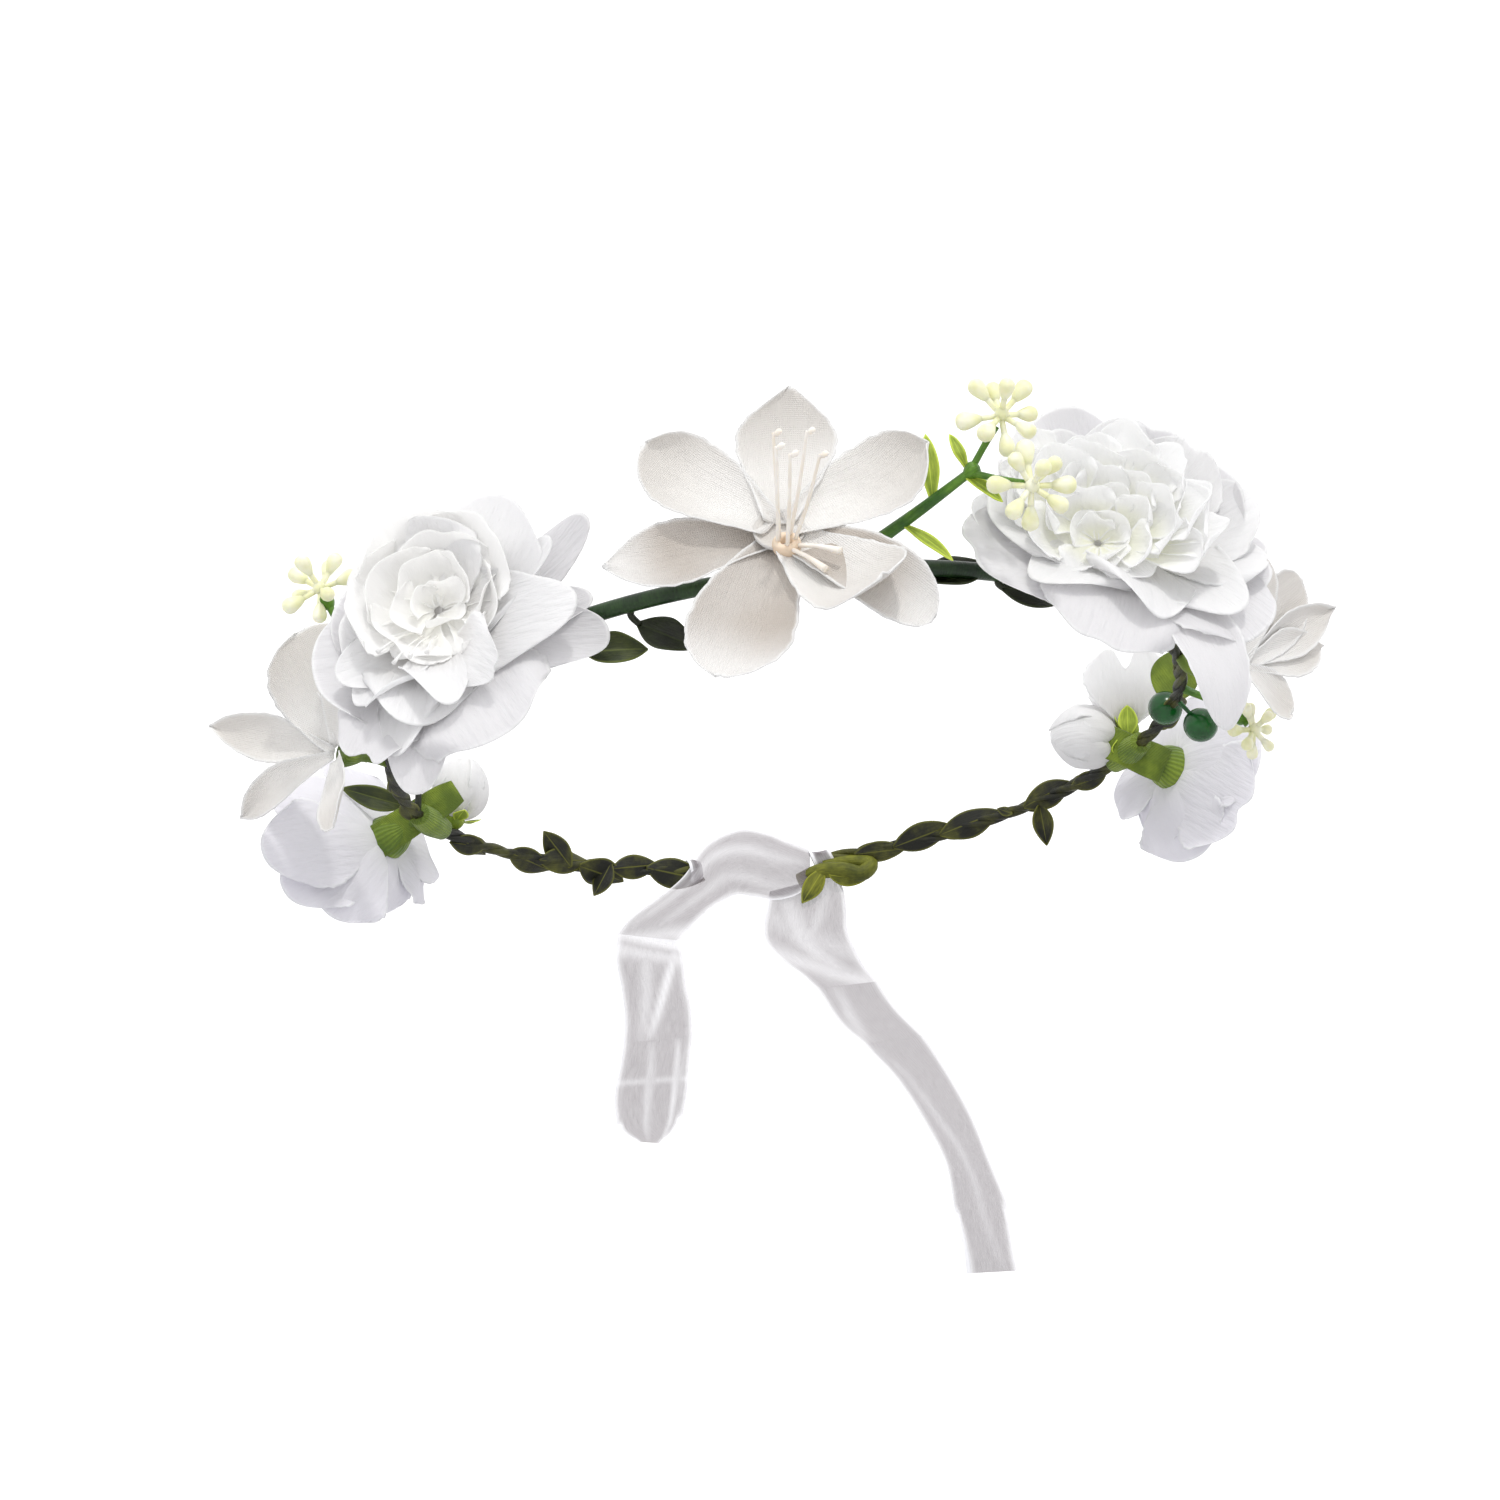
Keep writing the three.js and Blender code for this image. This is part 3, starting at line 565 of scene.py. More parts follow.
def finish_rings(flower, rings, heart_cloth):
    """Makes a double flower's four rings of petals, from the outside in."""
    for ring, place, cloth, slot, thick in zip(
        rings, ("outer", "middle", "inner", "core"), ("outer", "white", heart_cloth, heart_cloth),
        ("white", "white", "white", "core"), (PETAL_T, PETAL_T, CUP_T, CUP_T),
    ):
        node = f"{flower}_core" if place == "core" else f"{flower}_{place}_petals"
        ring.finish(f"{flower}_petals_{place}", cloth, node, slot, thick)


# ---- the centre lily -------------------------------------------------------------
LILY_PETAL = "clock rho h width kind rise dip wrap roll"
LILY = Spot(on_ring(2, 7.2, 2.8), aim(2, 16))
b, c = Builder(), Builder()
whorl(b, LILY, LILY_PETAL, (
    (11, 33, 15, 23, "lily", 2, 56, 46, 0),
    (-50, 34, 14, 21.5, "boat", 2, 54, 52, 0),
    (70, 35.4, 15, 22, "boat", 2, 56, 52, 0),
    (144, 32.5, 20, 23.5, "boat", -6, 78, 38, 0.2),
), seed=200, foot=(2.2, 5.6), ruffle=0.45, n=(25, 35))
whorl(c, LILY, LILY_PETAL, (
    (-97, 37.7, 7, 19.5, "lily", 8, 34, 52, 0),
    (-156, 39.6, 5, 24, "boat", 8, 26, 44, 0),
    (129, 37.9, 0, 18, "boat", 24, -30, 40, 0),
), seed=300, foot=(2.0, 3.2), ruffle=0.55, n=(25, 35))
lathe(b, LILY, [(0.01, 3.6), (2.8, 4.0), (5.0, 5.6), (5.4, 6.6), (4.7, 6.1), (2.4, 4.7), (0.01, 4.3)], 24, 16)
b.finish("lily_petals_front", "lily", "lily_inner_petals", "ivory", VELVET_T)
c.finish("lily_petals_back", "lily_back", "lily_outer_petals", "ivory", VELVET_T)

b = Builder()
HUB = Spot(LILY.at(166, 4.6, 6.6), LILY.n + 0.15 * LILY.up)
lathe(b, HUB, [(1.4, -2.0), (2.8, -1.4), (3.1, 0.2), (2.7, 1.2), (1.9, 1.4), (1.25, 0.8), (1.1, -1.6),
               (0.01, -1.7)], 28, 22)
b.finish("lily_hub_ring", "hub", "lily_hub", "hub")

b = Builder()
# five stamens with anthers, then two short thick ones
for clock, rho, h, foot_clock in (
    (5, 6.0, 30, -50), (22, 1.8, 30.5, -90), (111, 3.5, 31, 180), (64, 8.2, 32, 30), (96, 9.5, 29.5, 90),
):
    foot, tip = HUB.at(foot_clock, 1.8, 0.8), LILY.at(clock, rho, h)
    mid = (foot + tip) / 2 - 1.0 * LILY.up
    tube(b, [foot, mid, tip], [(0, 0.46), (0.5, 0.4), (1, 0.34)], 8, 16)
    blob(b, tip - 0.8 * unit(tip - foot), unit(tip - foot) + 1.3 * LILY.rt, 2.3, 0.66)
for clock, rho, h, foot_clock in ((152, 17.5, 10.2, 160), (134, 16.5, 10.8, 120)):
    foot, tip = HUB.at(foot_clock, 2.2, 0.4), LILY.at(clock, rho, h)
    tube(b, [foot, (foot + tip) / 2 + 0.6 * LILY.n, tip], [(0, 0.5), (0.5, 0.5), (1, 0.85)], 10, 14)
b.finish("lily_stamen_set", "filament", "lily_stamens", "filament")
calyx("lily_base", "lily_calyx", LILY,
      [(0.01, -5.1), (1.3, -5.0), (1.4, -4.2), (2.6, -3.0), (4.0, -0.8), (3.4, 0.6), (0.01, 0.8)], -4.9, 1.3)


# ---- the left rose ---------------------------------------------------------------
ROSE = Spot(on_ring(-44, 8.5, 0.5), aim(-14, 12))
outer, middle, inner, core = Builder(), Builder(), Builder(), Builder()
whorl(outer, ROSE, FULL_PETAL, (
    (-103, 27, 12, 33, 10, 26, 18, 0.2, 0.26, 6, 0),
    (-150, 33.5, 8, 25, 18, -10, 20, 0.5, 0.24, -6, 0.08),
    (-171, 37, 3, 17, 24, -30, 34, 0.3, 0.3, 12, 0),
    (152, 35, 9, 34, 20, -16, 16, 1.0, 0.22, 0, 0),
    (102, 40.5, 5, 19, 16, 2, 30, 0, 0.34, 0, 0),
    (88, 36.5, 7, 15, 16, 10, 34, 0, 0.4, -12, 0),
    (63, 42.5, 12, 20, 8, 30, 46, 0, 0.8, -18, 0),
    (-62, 24, 12, 26, 10, 30, 26, 0.2, 0.26, 0, 0),
), seed=410, foot=(2.0, 1.2), foot_step=0.1, ruffle=1.1, n=(25, 31))
whorl(middle, ROSE, FULL_PETAL, (
    (44, 32.8, 18, 29, 20, 46, 26, 0.2, 0.20, 0, 0),
    (68, 33, 16, 18, 20, 40, 40, 0, 0.75, 20, 0),
    (97, 36, 14, 30, 26, 10, 20, 0, 0.85, -14, 0),
    (-175, 26, 13, 30, 26, 4, 22, 0.3, 0.6, 26, 0),
    (-166, 31, 9, 18, 26, -10, 34, 0.3, 0.4, -30, 0),
    (-30, 21, 18, 25, 24, 64, 30, 0.1, 0.22, 0, 0.06),
    (8, 23.5, 20, 24, 24, 64, 30, 0.1, 0.22, 0, 0),
    (-72, 19, 16, 25, 24, 60, 30, 0.1, 0.22, 0, 0.04),
    (-142, 24, 14, 19, 30, 6, 40, 0.2, 0.45, -30, 0.06),
    (164, 25, 15.5, 18, 34, -4, 44, 0.2, 0.5, 34, 0),
    (136, 27, 16.5, 19, 32, 8, 40, 0.2, 0.5, -34, 0.06),
    (-118, 22, 15, 17, 30, 26, 44, 0.2, 0.4, 24, 0),
), seed=430, foot=(1.8, 3.6), foot_step=0.1, ruffle=0.9, n=(23, 29))
ROSE_CUP = Spot(ROSE.at(6, 6.4, 3.6), aim(-4, 10))
whorl(inner, ROSE_CUP, "clock rho h width dip notch twist", (
    (50, 19.0, 16.5, 31, 60, 0.05, 6), (-16, 19.0, 17.0, 31, 64, 0.04, -5),
    (-84, 18.5, 14.6, 30, 58, 0.06, 8), (112, 15.5, 12.5, 25, 60, 0, -12),
    (-140, 15.5, 11.0, 25, 50, 0.06, 10), (178, 14.5, 8.4, 25, 26, 0, -8),
    (16, 14.4, 15.4, 24, 68, 0.06, -10), (-58, 14.0, 14.2, 23, 66, 0, 12),
    (88, 13.4, 11.6, 20, 60, 0.05, 14),
), seed=450, foot=(1.6, 3.4), foot_step=0.05, rise=2, pull=(0.52, 0.42), wrap=48, flat_tip=0.8, fan=0.18,
      ruffle=1.35, n=(25, 27))
whorl(core, ROSE_CUP, HEART_PETAL, (
    (48, 9.8, 13.0, 18, 78, 16), (-20, 9.4, 13.2, 18, 82, -14), (-100, 9.0, 10.8, 16, 72, 12),
    (36, 4.4, 11.6, 11, 98, -20), (-64, 4.0, 10.6, 10, 94, 18), (150, 6.0, 8.0, 11, 66, 8),
), seed=470, foot=(1.0, 4.4), rise=2, pull=(0.5, 0.44), wrap=54, flat_tip=0.8, fan=0.2, ruffle=1.2,
      n=(21, 23))
# the thin threads at the rose's lower side
for clock, rho, h in ((-166, 17, 12.5), (-156, 19, 12), (-140, 18, 11.5), (-178, 15.5, 12)):
    foot, tip = ROSE_CUP.at(clock, 8, 6.5), ROSE_CUP.at(clock + 4, rho, h)
    mid = (foot + tip) / 2 + 1.2 * ROSE_CUP.n
    tube(core, [foot, mid, tip], [(0, 0.22), (0.85, 0.26), (1, 0.5)], 6, 10)
finish_rings("rose", (outer, middle, inner, core), "warm")


# ---- the right peony -------------------------------------------------------------
PEONY = Spot(on_ring(48, 9.0, 3), aim(24, 22))
outer, middle, inner, core = Builder(), Builder(), Builder(), Builder()
whorl(outer, PEONY, FULL_PETAL, (
    (-99, 43, 8, 31, 12, 6, 30, 0.3, 0.26, 8, 0.04),
    (-150, 37.5, 6, 33, 24, -24, 24, 0.7, 0.2, 0, 0.03),
    (167, 48.5, -3, 17, 30, -62, 20, 0, 0.2, -6, 0),
    (143, 36, 8, 33, 22, -14, 20, 0.5, 0.22, 0, 0),
    (104, 32.5, 11, 31, 12, 26, 24, 0.2, 0.22, 0, 0.05),
    (62, 28.5, 18, 29, 16, 50, 28, 0.1, 0.22, 0, 0),
    (22, 29.5, 19, 30, 16, 50, 28, 0.1, 0.22, 0, 0.04),
    (-14, 35.5, 16, 30, 12, 40, 26, 0.1, 0.22, 0, 0),
    (-50, 34.5, 12, 28, 12, 36, 26, 0.1, 0.24, 0, 0.05),
), seed=510, foot=(2.0, 1.2), foot_step=0.1, ruffle=1.2, n=(27, 29))
whorl(middle, PEONY, FULL_PETAL, (
    (-82, 35, 12, 27, 20, 20, 30, 0.2, 0.28, 12, 0),
    (-120, 34, 10, 25, 22, 4, 26, 0.4, 0.6, -12, 0),
    (-168, 29, 12, 28, 26, -6, 22, 0.4, 0.5, 14, 0),
    (150, 31, 13, 27, 22, 4, 22, 0.4, 0.55, -16, 0),
    (112, 31, 14, 26, 20, 26, 26, 0.2, 0.3, 12, 0.05),
    (80, 29, 18, 25, 20, 46, 30, 0.1, 0.22, -6, 0),
    (44, 26.5, 21, 25, 20, 58, 30, 0.1, 0.22, 8, 0.05),
    (8, 27.5, 20, 25, 20, 56, 30, 0.1, 0.22, -8, 0),
    (-34, 30, 16, 26, 20, 44, 30, 0.1, 0.24, 6, 0.04),
), seed=530, foot=(1.8, 3.6), foot_step=0.1, ruffle=1.2, n=(23, 27))
PEONY_EYE = Spot(PEONY.at(-106, 8.5, 5.0), aim(4, 12))
rng = np.random.default_rng(PEONY_SEED)
# crowded rings with gaps at the lower left, each petal a little off its place
for ring, (count, low, high, rho, h, width, dip) in enumerate((
    (8, -80, 125, 25.5, 16, 18, 84),
    (8, -88, 122, 20.0, 17, 17, 92),
    (7, -85, 128, 14.5, 16.5, 15.5, 98),
    (5, -80, 120, 9.5, 15, 13.5, 104),
)):
    for k in range(count):
        clock = low + (high - low) * (k + 0.5 * (ring % 2)) / (count - 0.5) + rng.uniform(-9, 9)
        petal(inner if ring < 2 else core, PEONY_EYE, clock, rho + rng.uniform(-2.2, 2.2),
              h + rng.uniform(-2.6, 1.6), width * rng.uniform(0.78, 1.15), foot=(rho * 0.4, 5), rise=24,
              dip=dip + rng.uniform(-22, 24), wrap=50, flat_tip=0.85, fan=0.22, roll=0.3,
              notch=0.08 * (k % 2), twist=rng.uniform(-26, 26), lean=rng.uniform(-14, 14), ruffle=1.1,
              seed=550 + 20 * ring + k, n=(21, 23))
whorl(core, PEONY_EYE, HEART_PETAL, (
    (150, 15, 8, 17, 20, 14), (-120, 15, 8.5, 16, 24, -12), (-160, 13.5, 8, 17, 20, 10),
    (178, 10, 8, 13, 40, -14), (-60, 6, 10, 11, 92, 10), (60, 5, 11, 11, 100, -10),
    (0, 3.6, 10, 9, 100, 20), (130, 6.5, 8.5, 11, 66, 0),
), seed=640, foot=(0.8, 4.0), rise=20, wrap=40, flat_tip=0.85, fan=0.24, ruffle=0.9, n=(19, 21))
finish_rings("peony", (outer, middle, inner, core), "eye")

for name, spot in (("rose", ROSE), ("peony", PEONY)):
    calyx(name + "_base", name + "_calyx", spot,
          [(0.01, -5.7), (1.3, -5.6), (1.6, -4.6), (3.0, -3.4), (4.2, -0.8), (3.8, 0.5), (0.01, 0.8)],
          -5.4, 1.4)


# ---- the side lilies -------------------------------------------------------------
SIDE_PETAL = "clock rho h width kind rise dip wrap twist"
SIDE_L = Spot(on_ring(-79, 11, 2), aim(-52, 2))
SIDE_R = Spot(on_ring(77, 13, -7), aim(58, -4))
for name, spot, seed, rows in (
    ("side_lily_left", SIDE_L, 700, (
        (-4, 31, 9, 27, "boat", 10, 24, 24, -34),
        (-63, 45, 14, 12.5, "narrow", 10, 20, 50, 0),
        (-96, 37, 8, 11, "narrow", 20, 0, 50, 16),
        (-30, 25, 4, 12, "boat", 10, 10, 36, 0),
        (30, 28, 9, 15, "boat", 10, 20, 36, 0),
        (160, 24, 8, 14, "boat", 10, 20, 36, 0),
    )),
    ("side_lily_right", SIDE_R, 720, (
        (42, 35, 9, 17, "boat", 14, 20, 40, 0),
        (58, 39.5, 12, 12, "narrow", 14, 20, 56, 0),
        (70, 33, 9, 13, "narrow", 14, 10, 50, 10),
        (8, 27, 9, 15, "boat", 14, 20, 40, 0),
        (120, 18, 6, 13, "boat", 20, 20, 40, 0),
    )),
):
    b = Builder()
    whorl(b, spot, SIDE_PETAL, rows, seed, foot=(1.8, 1.4), foot_step=0.1, ruffle=0.5, n=(21, 29))
    b.finish(name, "lily", name + "_petals", "ivory", VELVET_T)
for name, spot in (("side_lily_left", SIDE_L), ("side_lily_right", SIDE_R)):
    calyx(name + "_base", name + "_calyx", spot,
          [(0.01, -6.6), (1.2, -6.5), (1.3, -5.0), (2.2, -3.4), (3.2, -0.8), (2.6, 0.6), (0.01, 0.8)],
          -6.3, 1.1)


# ---- the rear blossoms -----------------------------------------------------------
REAR_L = Spot(on_ring(-107, 10.4, -1), aim(-122, -10))
REAR_R = Spot(on_ring(117, 10.4, -3), aim(132, -12))
for name, spot, rows in (
    ("rear_left", REAR_L, (
        (103, 39, 11, 24, 8), (72, 31, 12, 24, -8), (134, 28, 11, 26, 0), (172, 17, 11, 24, 0),
        (-114, 21, 8, 20, 0), (-88, 24, 7, 18, 0), (3, 28, 12, 24, 0), (-44, 24, 12, 22, 0),
        (118, 33, 14, 22, 0),
    )),
    ("rear_right", REAR_R, (
        (-90, 24, 10, 31, 0), (-134, 25, 10, 31, 0), (178, 23, 10, 30, 0), (140, 19, 9, 22, 0),
        (92, 24, 6, 16, 0), (40, 20, 10, 22, 0), (2, 23, 10, 24, 0), (-45, 24, 10, 24, 0),
    )),
):
    b, c = Builder(), Builder()
    whorl(b, spot, "clock rho h width twist notch", [(*row, 0.09 * (k % 2)) for k, row in enumerate(rows)],
          seed=740 + len(name), foot=(2.0, 1.0), foot_step=0.12, rise=6, dip=40, wrap=30, roll=0.3, fan=0.28,
          ruffle=0.9, n=(23, 27))
    for k in range(7):
        petal(c, spot, 51 * k, 9 + (k % 2) * 3, 16, 15, foot=(1.5, 3.5), rise=30, dip=80, wrap=55, ruffle=0.8,
              seed=770 + k, n=(15, 17))
    b.finish(name + "_outer", "cool", name + "_petals", "white", PETAL_T)
    c.finish(name + "_heart", "white", name + "_core", "core", PETAL_T)
    calyx(name + "_cup", name + "_calyx", spot,
          [(0.01, -6.4), (1.3, -6.3), (1.8, -5.2), (3.6, -3.6), (5.2, -0.6), (5.6, 1.6), (5.2, 1.7),
           (0.01, 1.2)], -6.1, 1.4, sides=24, steps=18)


# ---- buds ------------------------------------------------------------------------
BUD_L = Spot((-86.5, 42.5, 4.5), (0.30, -0.12, 1.0))
HEART = Spot((85.8, 44.0, 6.5), (0.0, -0.93, -0.36))
BUD_R = Spot((83.4, 45.5, 4.2), (-1.0, -0.06, 0.22))


def closed_bud(name, spot, count, first, rho, tall, step, width, seed, **common):
    """A bud of petals that all bend in to its tip, each step lower than the last."""
    b = Builder()
    for k in range(count):
        petal(b, spot, 360 // count * k + first, rho, tall - step * k, width, flat_tip=0.7, fan=0.2,
              seed=seed + k, **common)
    b.finish(name + "_petals", "white", name, "white", PETAL_T)


closed_bud("bud_rear_left", BUD_L, 4, 160, 1.2, 17, 0.4, 16, 810, foot=(1.0, 0.6), rise=6, dip=160,
           pull=(0.56, 0.5), wrap=78, ruffle=0.3, n=(21, 25))
b = Builder()
whorl(b, HEART, "clock rho h width notch rise dip", (
    (3, 21.5, 5.0, 22, 0.30, 20, 0),
    (-3, 15.5, 0.6, 17, 0.1, -10, 10),
    (22, 14.5, -2.5, 14, 0.1, -10, 20),
), seed=800, foot=(0.6, 0.4), wrap=26, fan=0.2, roll=0.5, ruffle=0.35, n=(27, 27))
b.finish("bud_inner_upper_petals", "white", "bud_inner_upper", "white", PETAL_T)
closed_bud("bud_inner_lower", BUD_R, 5, 10, 1.0, 18, 0.35, 19, 820, foot=(1.2, 0.4), rise=4, dip=164,
           pull=(0.60, 0.54), wrap=80, ruffle=0.5, n=(23, 27))

for name, spot in (("bud_rear_left", BUD_L), ("bud_inner_upper", HEART), ("bud_inner_lower", BUD_R)):
    b = Builder()
    blob(b, spot.p - 2.2 * spot.n, spot.n, 4.6, 2.6)
    stalk(b, spot.p - 1.8 * spot.n, spot.n if spot is not HEART else spot.up, 0.9)
    if spot is HEART:
        leaf(b, spot.at(-160, 2.0, 3.4), spot.out(6), spot.n, 8.0, 5.0, bend=0.05, seed=9)
    else:
        for k in range(4):
            out = spot.out(90 * k + 40)
            leaf(b, spot.at(90 * k + 40, 1.8, 0.2), out * 0.9 + spot.n * 0.6, out - spot.n, 5.5, 4.0,
                 bend=-0.2, seed=k)
    b.finish(name + "_sepals", "lime", name + "_cup", "lime", SEPAL_T)


# ---- sprigs ----------------------------------------------------------------------
def cluster(build, centre, axis, radius, seed, count=9):
    """Club-shaped buds on short stalks, spreading from one point and turned to axis."""
    rng = np.random.default_rng(seed)
    spot = Spot(centre, axis)
    for k in range(count):
        lift = 0.92 if k == 0 else (0.30 if k % 2 else -0.12) + rng.uniform(-0.12, 0.12)
        clock = 360 / (count - 1) * k + rng.uniform(-10, 10)
        d = unit(lift * spot.n + math.sqrt(1 - lift * lift) * spot.out(clock))
        size = radius * rng.uniform(0.84, 1.04)
        path = [centre + 0.3 * d, centre + 0.35 * size * d, centre + 0.6 * size * d]
        tube(build, path, [(0, 0.62), (1, 0.72)], 8, 6)
        blob(build, centre + 0.40 * size * d, d, 0.62 * size, 0.2 * size, CLUB, 12)
    blob(build, centre - 1.8 * spot.n, spot.n, 3.8, 1.6)


THIN, THICK = 0.9, [(0, 1.5), (0.7, 1.15), (1, 1.0)]
for name, radius, foot_r, facing, points, heads in (
    ("sprig_left", THIN, 0.9, (0.35 * -88.5 / 95, -1.0, -0.15),
     ((-88.5, -46.5, 5), (-95, -48, 14), (-100.5, -50.2, 27)), ((-102, -50.5, 31, 9.6),)),
    ("sprig_front", THICK, 1.3, (0.35 * 22 / 95, -1.0, -0.15),
     ((22, -96, 3.2), (35, -101.5, 8.5), (45.4, -105.7, 13.2)), ((53.5, -111, 23, 10), (57, -116, 3.5, 9.8))),
    ("sprig_right", THIN, 0.9, (0.5, -1.0, 0.2),
     ((98.8, 2, -2.4), (103, 1, -5.5), (107.5, 0, -10)), ((110.5, 0, -14, 7.6),)),
):
    before, end = np.array(points[-2], float), np.array(points[-1], float)
    b = Builder()
    stalk(b, points[0], np.subtract(points[1], points[0]), foot_r)
    tube(b, points, radius, 12, 18)
    for k, (x, y, z, r) in enumerate(heads):
        centre = np.array([x, y, z], float)
        away = unit(centre - end)
        path = [end, (end + centre) / 2, centre - away * 0.25 * r]
        tube(b, path, [(0, 0.8), (0.6, 0.75), (1, 1.0)], 10, 10)
        head = Builder()
        cluster(head, centre, unit(0.45 * away + unit(facing)), r, 900 + k + len(name))
        head.finish(f"{name}_head_{k + 1}", "sprig", f"{name}_buds_{k + 1}", "sprig")
    blob(b, end - 1.6 * unit(end - before), end - before, 4.2, 1.9)
    b.finish(name + "_stalk", "sprig_green", name + "_stem", "stem")

b = Builder()
for k, (start, d, length, width) in enumerate((
    ((37, -101.8, 9.2), (0.05, -0.35, 1.0), 15, 4.2),
    ((30, -99.5, 6.0), (0.75, 0.1, -0.55), 13, 3.0),
    ((44, -105.5, 13), (0.9, 0, -0.7), 10, 3.0),
    ((-93, -47.6, 11.5), (0.45, -0.5, 0.75), 9, 5.0),
    ((-97, -49, 18), (-0.1, -0.7, 0.6), 8, 4.5),
    ((45, -105.5, 14), (-0.25, -0.2, 1.0), 9, 2.6),
    ((-94.6, -6, 2.5), (-0.6, -0.1, 0.7), 10, 5.5),
    ((-94.3, 4, 2.5), (0.5, -0.1, 0.8), 9, 5.5),
)):
    leaf(b, start, d, (0.1, -1, 0.3), length, width, bend=0.2, seed=60 + k)
b.finish("lime_leaves", "lime", thick=LEAF_T)


# ---- beads -----------------------------------------------------------------------
for name, *centre in (("bead_upper", 92.5, 15.5, 0.2), ("bead_lower", 99.5, 9.5, -7.6)):
    b = Builder()
    centre = np.array(centre)
    spot = Spot(centre, (0.2, -0.9, 0.4))
    angle = np.linspace(0, math.pi, 17)
    lathe(b, spot, [(4.25 * math.sin(a), -4.1 * math.cos(a)) for a in angle], 24)
    stalk(b, centre + (to_ring(centre) - centre) * 0.4, centre - to_ring(centre), 0.5)
    b.finish(name + "_berry", "bead", name, "bead")


# ---- leaves ----------------------------------------------------------------------
for k, (node, start, d, face, length, width, fold, key) in enumerate((
    ("leaf_front_left", (-41, -84, -7.5), (0.95, -0.1, -0.05), (0.05, -1, 0.25), 13.5, 8.5, 0.25, "leaf"),
    ("leaf_front_dark", (-29, -87, -3.5), (0.85, -0.15, -0.55), (0, -1, 0.1), 14, 8, 0.2, "dark"),
    ("leaf_front_right", (33, -87, -2), (0.95, 0.28, 0.25), (0.1, -1, 0.2), 17, 8, 0.25, "dark"),
    ("leaf_side_right", (93.0, 20.5, 3.0), (0.42, -0.05, 0.8), (0.1, -1, -0.2), 16, 12, 0.15, "ribbed"),
    ("leaf_rear_left", (-96, 27, 4.5), (-0.93, -0.2, 0.34), (0.0, -1, -0.45), 17, 6, 0.3, "leaf"),
    ("leaf_hanging", (62.5, 71, -1), (0.05, 0.05, -1), (0.1, -1, 0), 11, 5.6, 0.3, "vine"),
)):
    b = Builder()
    leaf(b, start, d, face, length, width, bend=0.1, fold=fold, seed=80 + k, n=(15, 21), kind="lens")
    stalk(b, start, d, 0.6)
    b.finish(node + "_blade", key, node, "leaf", LEAF_T)
b = Builder()
for k, (start, d, face, length, width) in enumerate((
    ((50, -80, -3), (0.9, 0.35, -0.1), (0.1, -1, 0), 16, 8),
    ((68, -66, -6), (0.8, 0.2, -0.3), (0.1, -1, 0), 13, 8),
    ((-92, 20, 6), (0.05, 0.05, 1.0), (0, -1, -0.2), 12, 5),
)):
    leaf(b, start, d, face, length, width, fold=0.2, seed=95 + k, kind="lens")
    stalk(b, start, d, 0.6)
b.finish("small_dark_leaves", "dark", thick=LEAF_T)
# broad taped wraps round the feet of the rear blossoms
b = Builder()
for start, d, length, width, seed in (
    ((-83.0, 26.0, 6.6), (-0.88, -0.05, -0.46), 24, 8.5, 1),
    ((76.0, 40.5, 5.0), (0.86, 0, -0.54), 20, 9.0, 4),
    ((84, 42, 4), (-0.9, 0, -0.16), 13, 5, 5),
):
    leaf(b, start, d, (0.0, -1.0, -0.35), length, width, bend=0.12, fold=-0.12, seed=seed, kind="strap",
         n=(15, 19))
b.finish("taped_wraps", "ribbed", thick=LEAF_T)


# ---- the vine --------------------------------------------------------------------
def ring_frame(deg):
    a = math.radians(deg)
    out = np.array([math.sin(a), -math.cos(a), 0])
    return on_ring(deg), out, np.array([0, 0, 1.0])


def leafy_vine(build, start, end, seed, leaves):
    """A cord of three strands with paper leaves laid along it, given as place on the ring,
    length, width, tilt from the cord and whether the tip points back."""
    rng = np.random.default_rng(seed)
    deg = np.linspace(start, end, int(abs(end - start) * 2))
    arc = np.abs(deg - start) / DEGREES_PER_RADIAN * RING_R
    for strand in range(STRANDS):
        turn = arc * STRAND_TWIST + strand * 2 * math.pi / STRANDS
        pts = []
        for d, a, r in zip(deg, turn, 0.72 + 0.14 * np.sin(arc / 6 + strand)):
            centre, out, up = ring_frame(d)
            pts.append(centre + r * (out * math.cos(a) + up * math.sin(a)))
        tube(build, pts, STRAND_R, 8, len(pts), uvs=12)
    for deg, length, width, tilt, backward in leaves:
        centre, out, up = ring_frame(deg)
        along = np.cross(up, out) * (-1 if backward else 1)
        face = unit(unit(TO_CAMERA) + rng.uniform(-0.25, 0.25) * up)
        across = unit(np.cross(along, face))
        d = along * math.cos(math.radians(tilt)) + across * math.sin(math.radians(tilt))
        leaf(build, centre + 1.75 * face - 1.5 * d, d, face, length, width, bend=0.04, fold=-0.24,
             twist=rng.uniform(-25, 25), seed=seed + int(abs(deg)), kind="lens", n=(13, 17))
        leaf(build, centre - 1.6 * face - 1.5 * d, d, face, length * 0.8, width * 0.8, bend=-0.04, fold=0.2,
             seed=seed + 7 + int(abs(deg)), kind="lens", n=(9, 13))


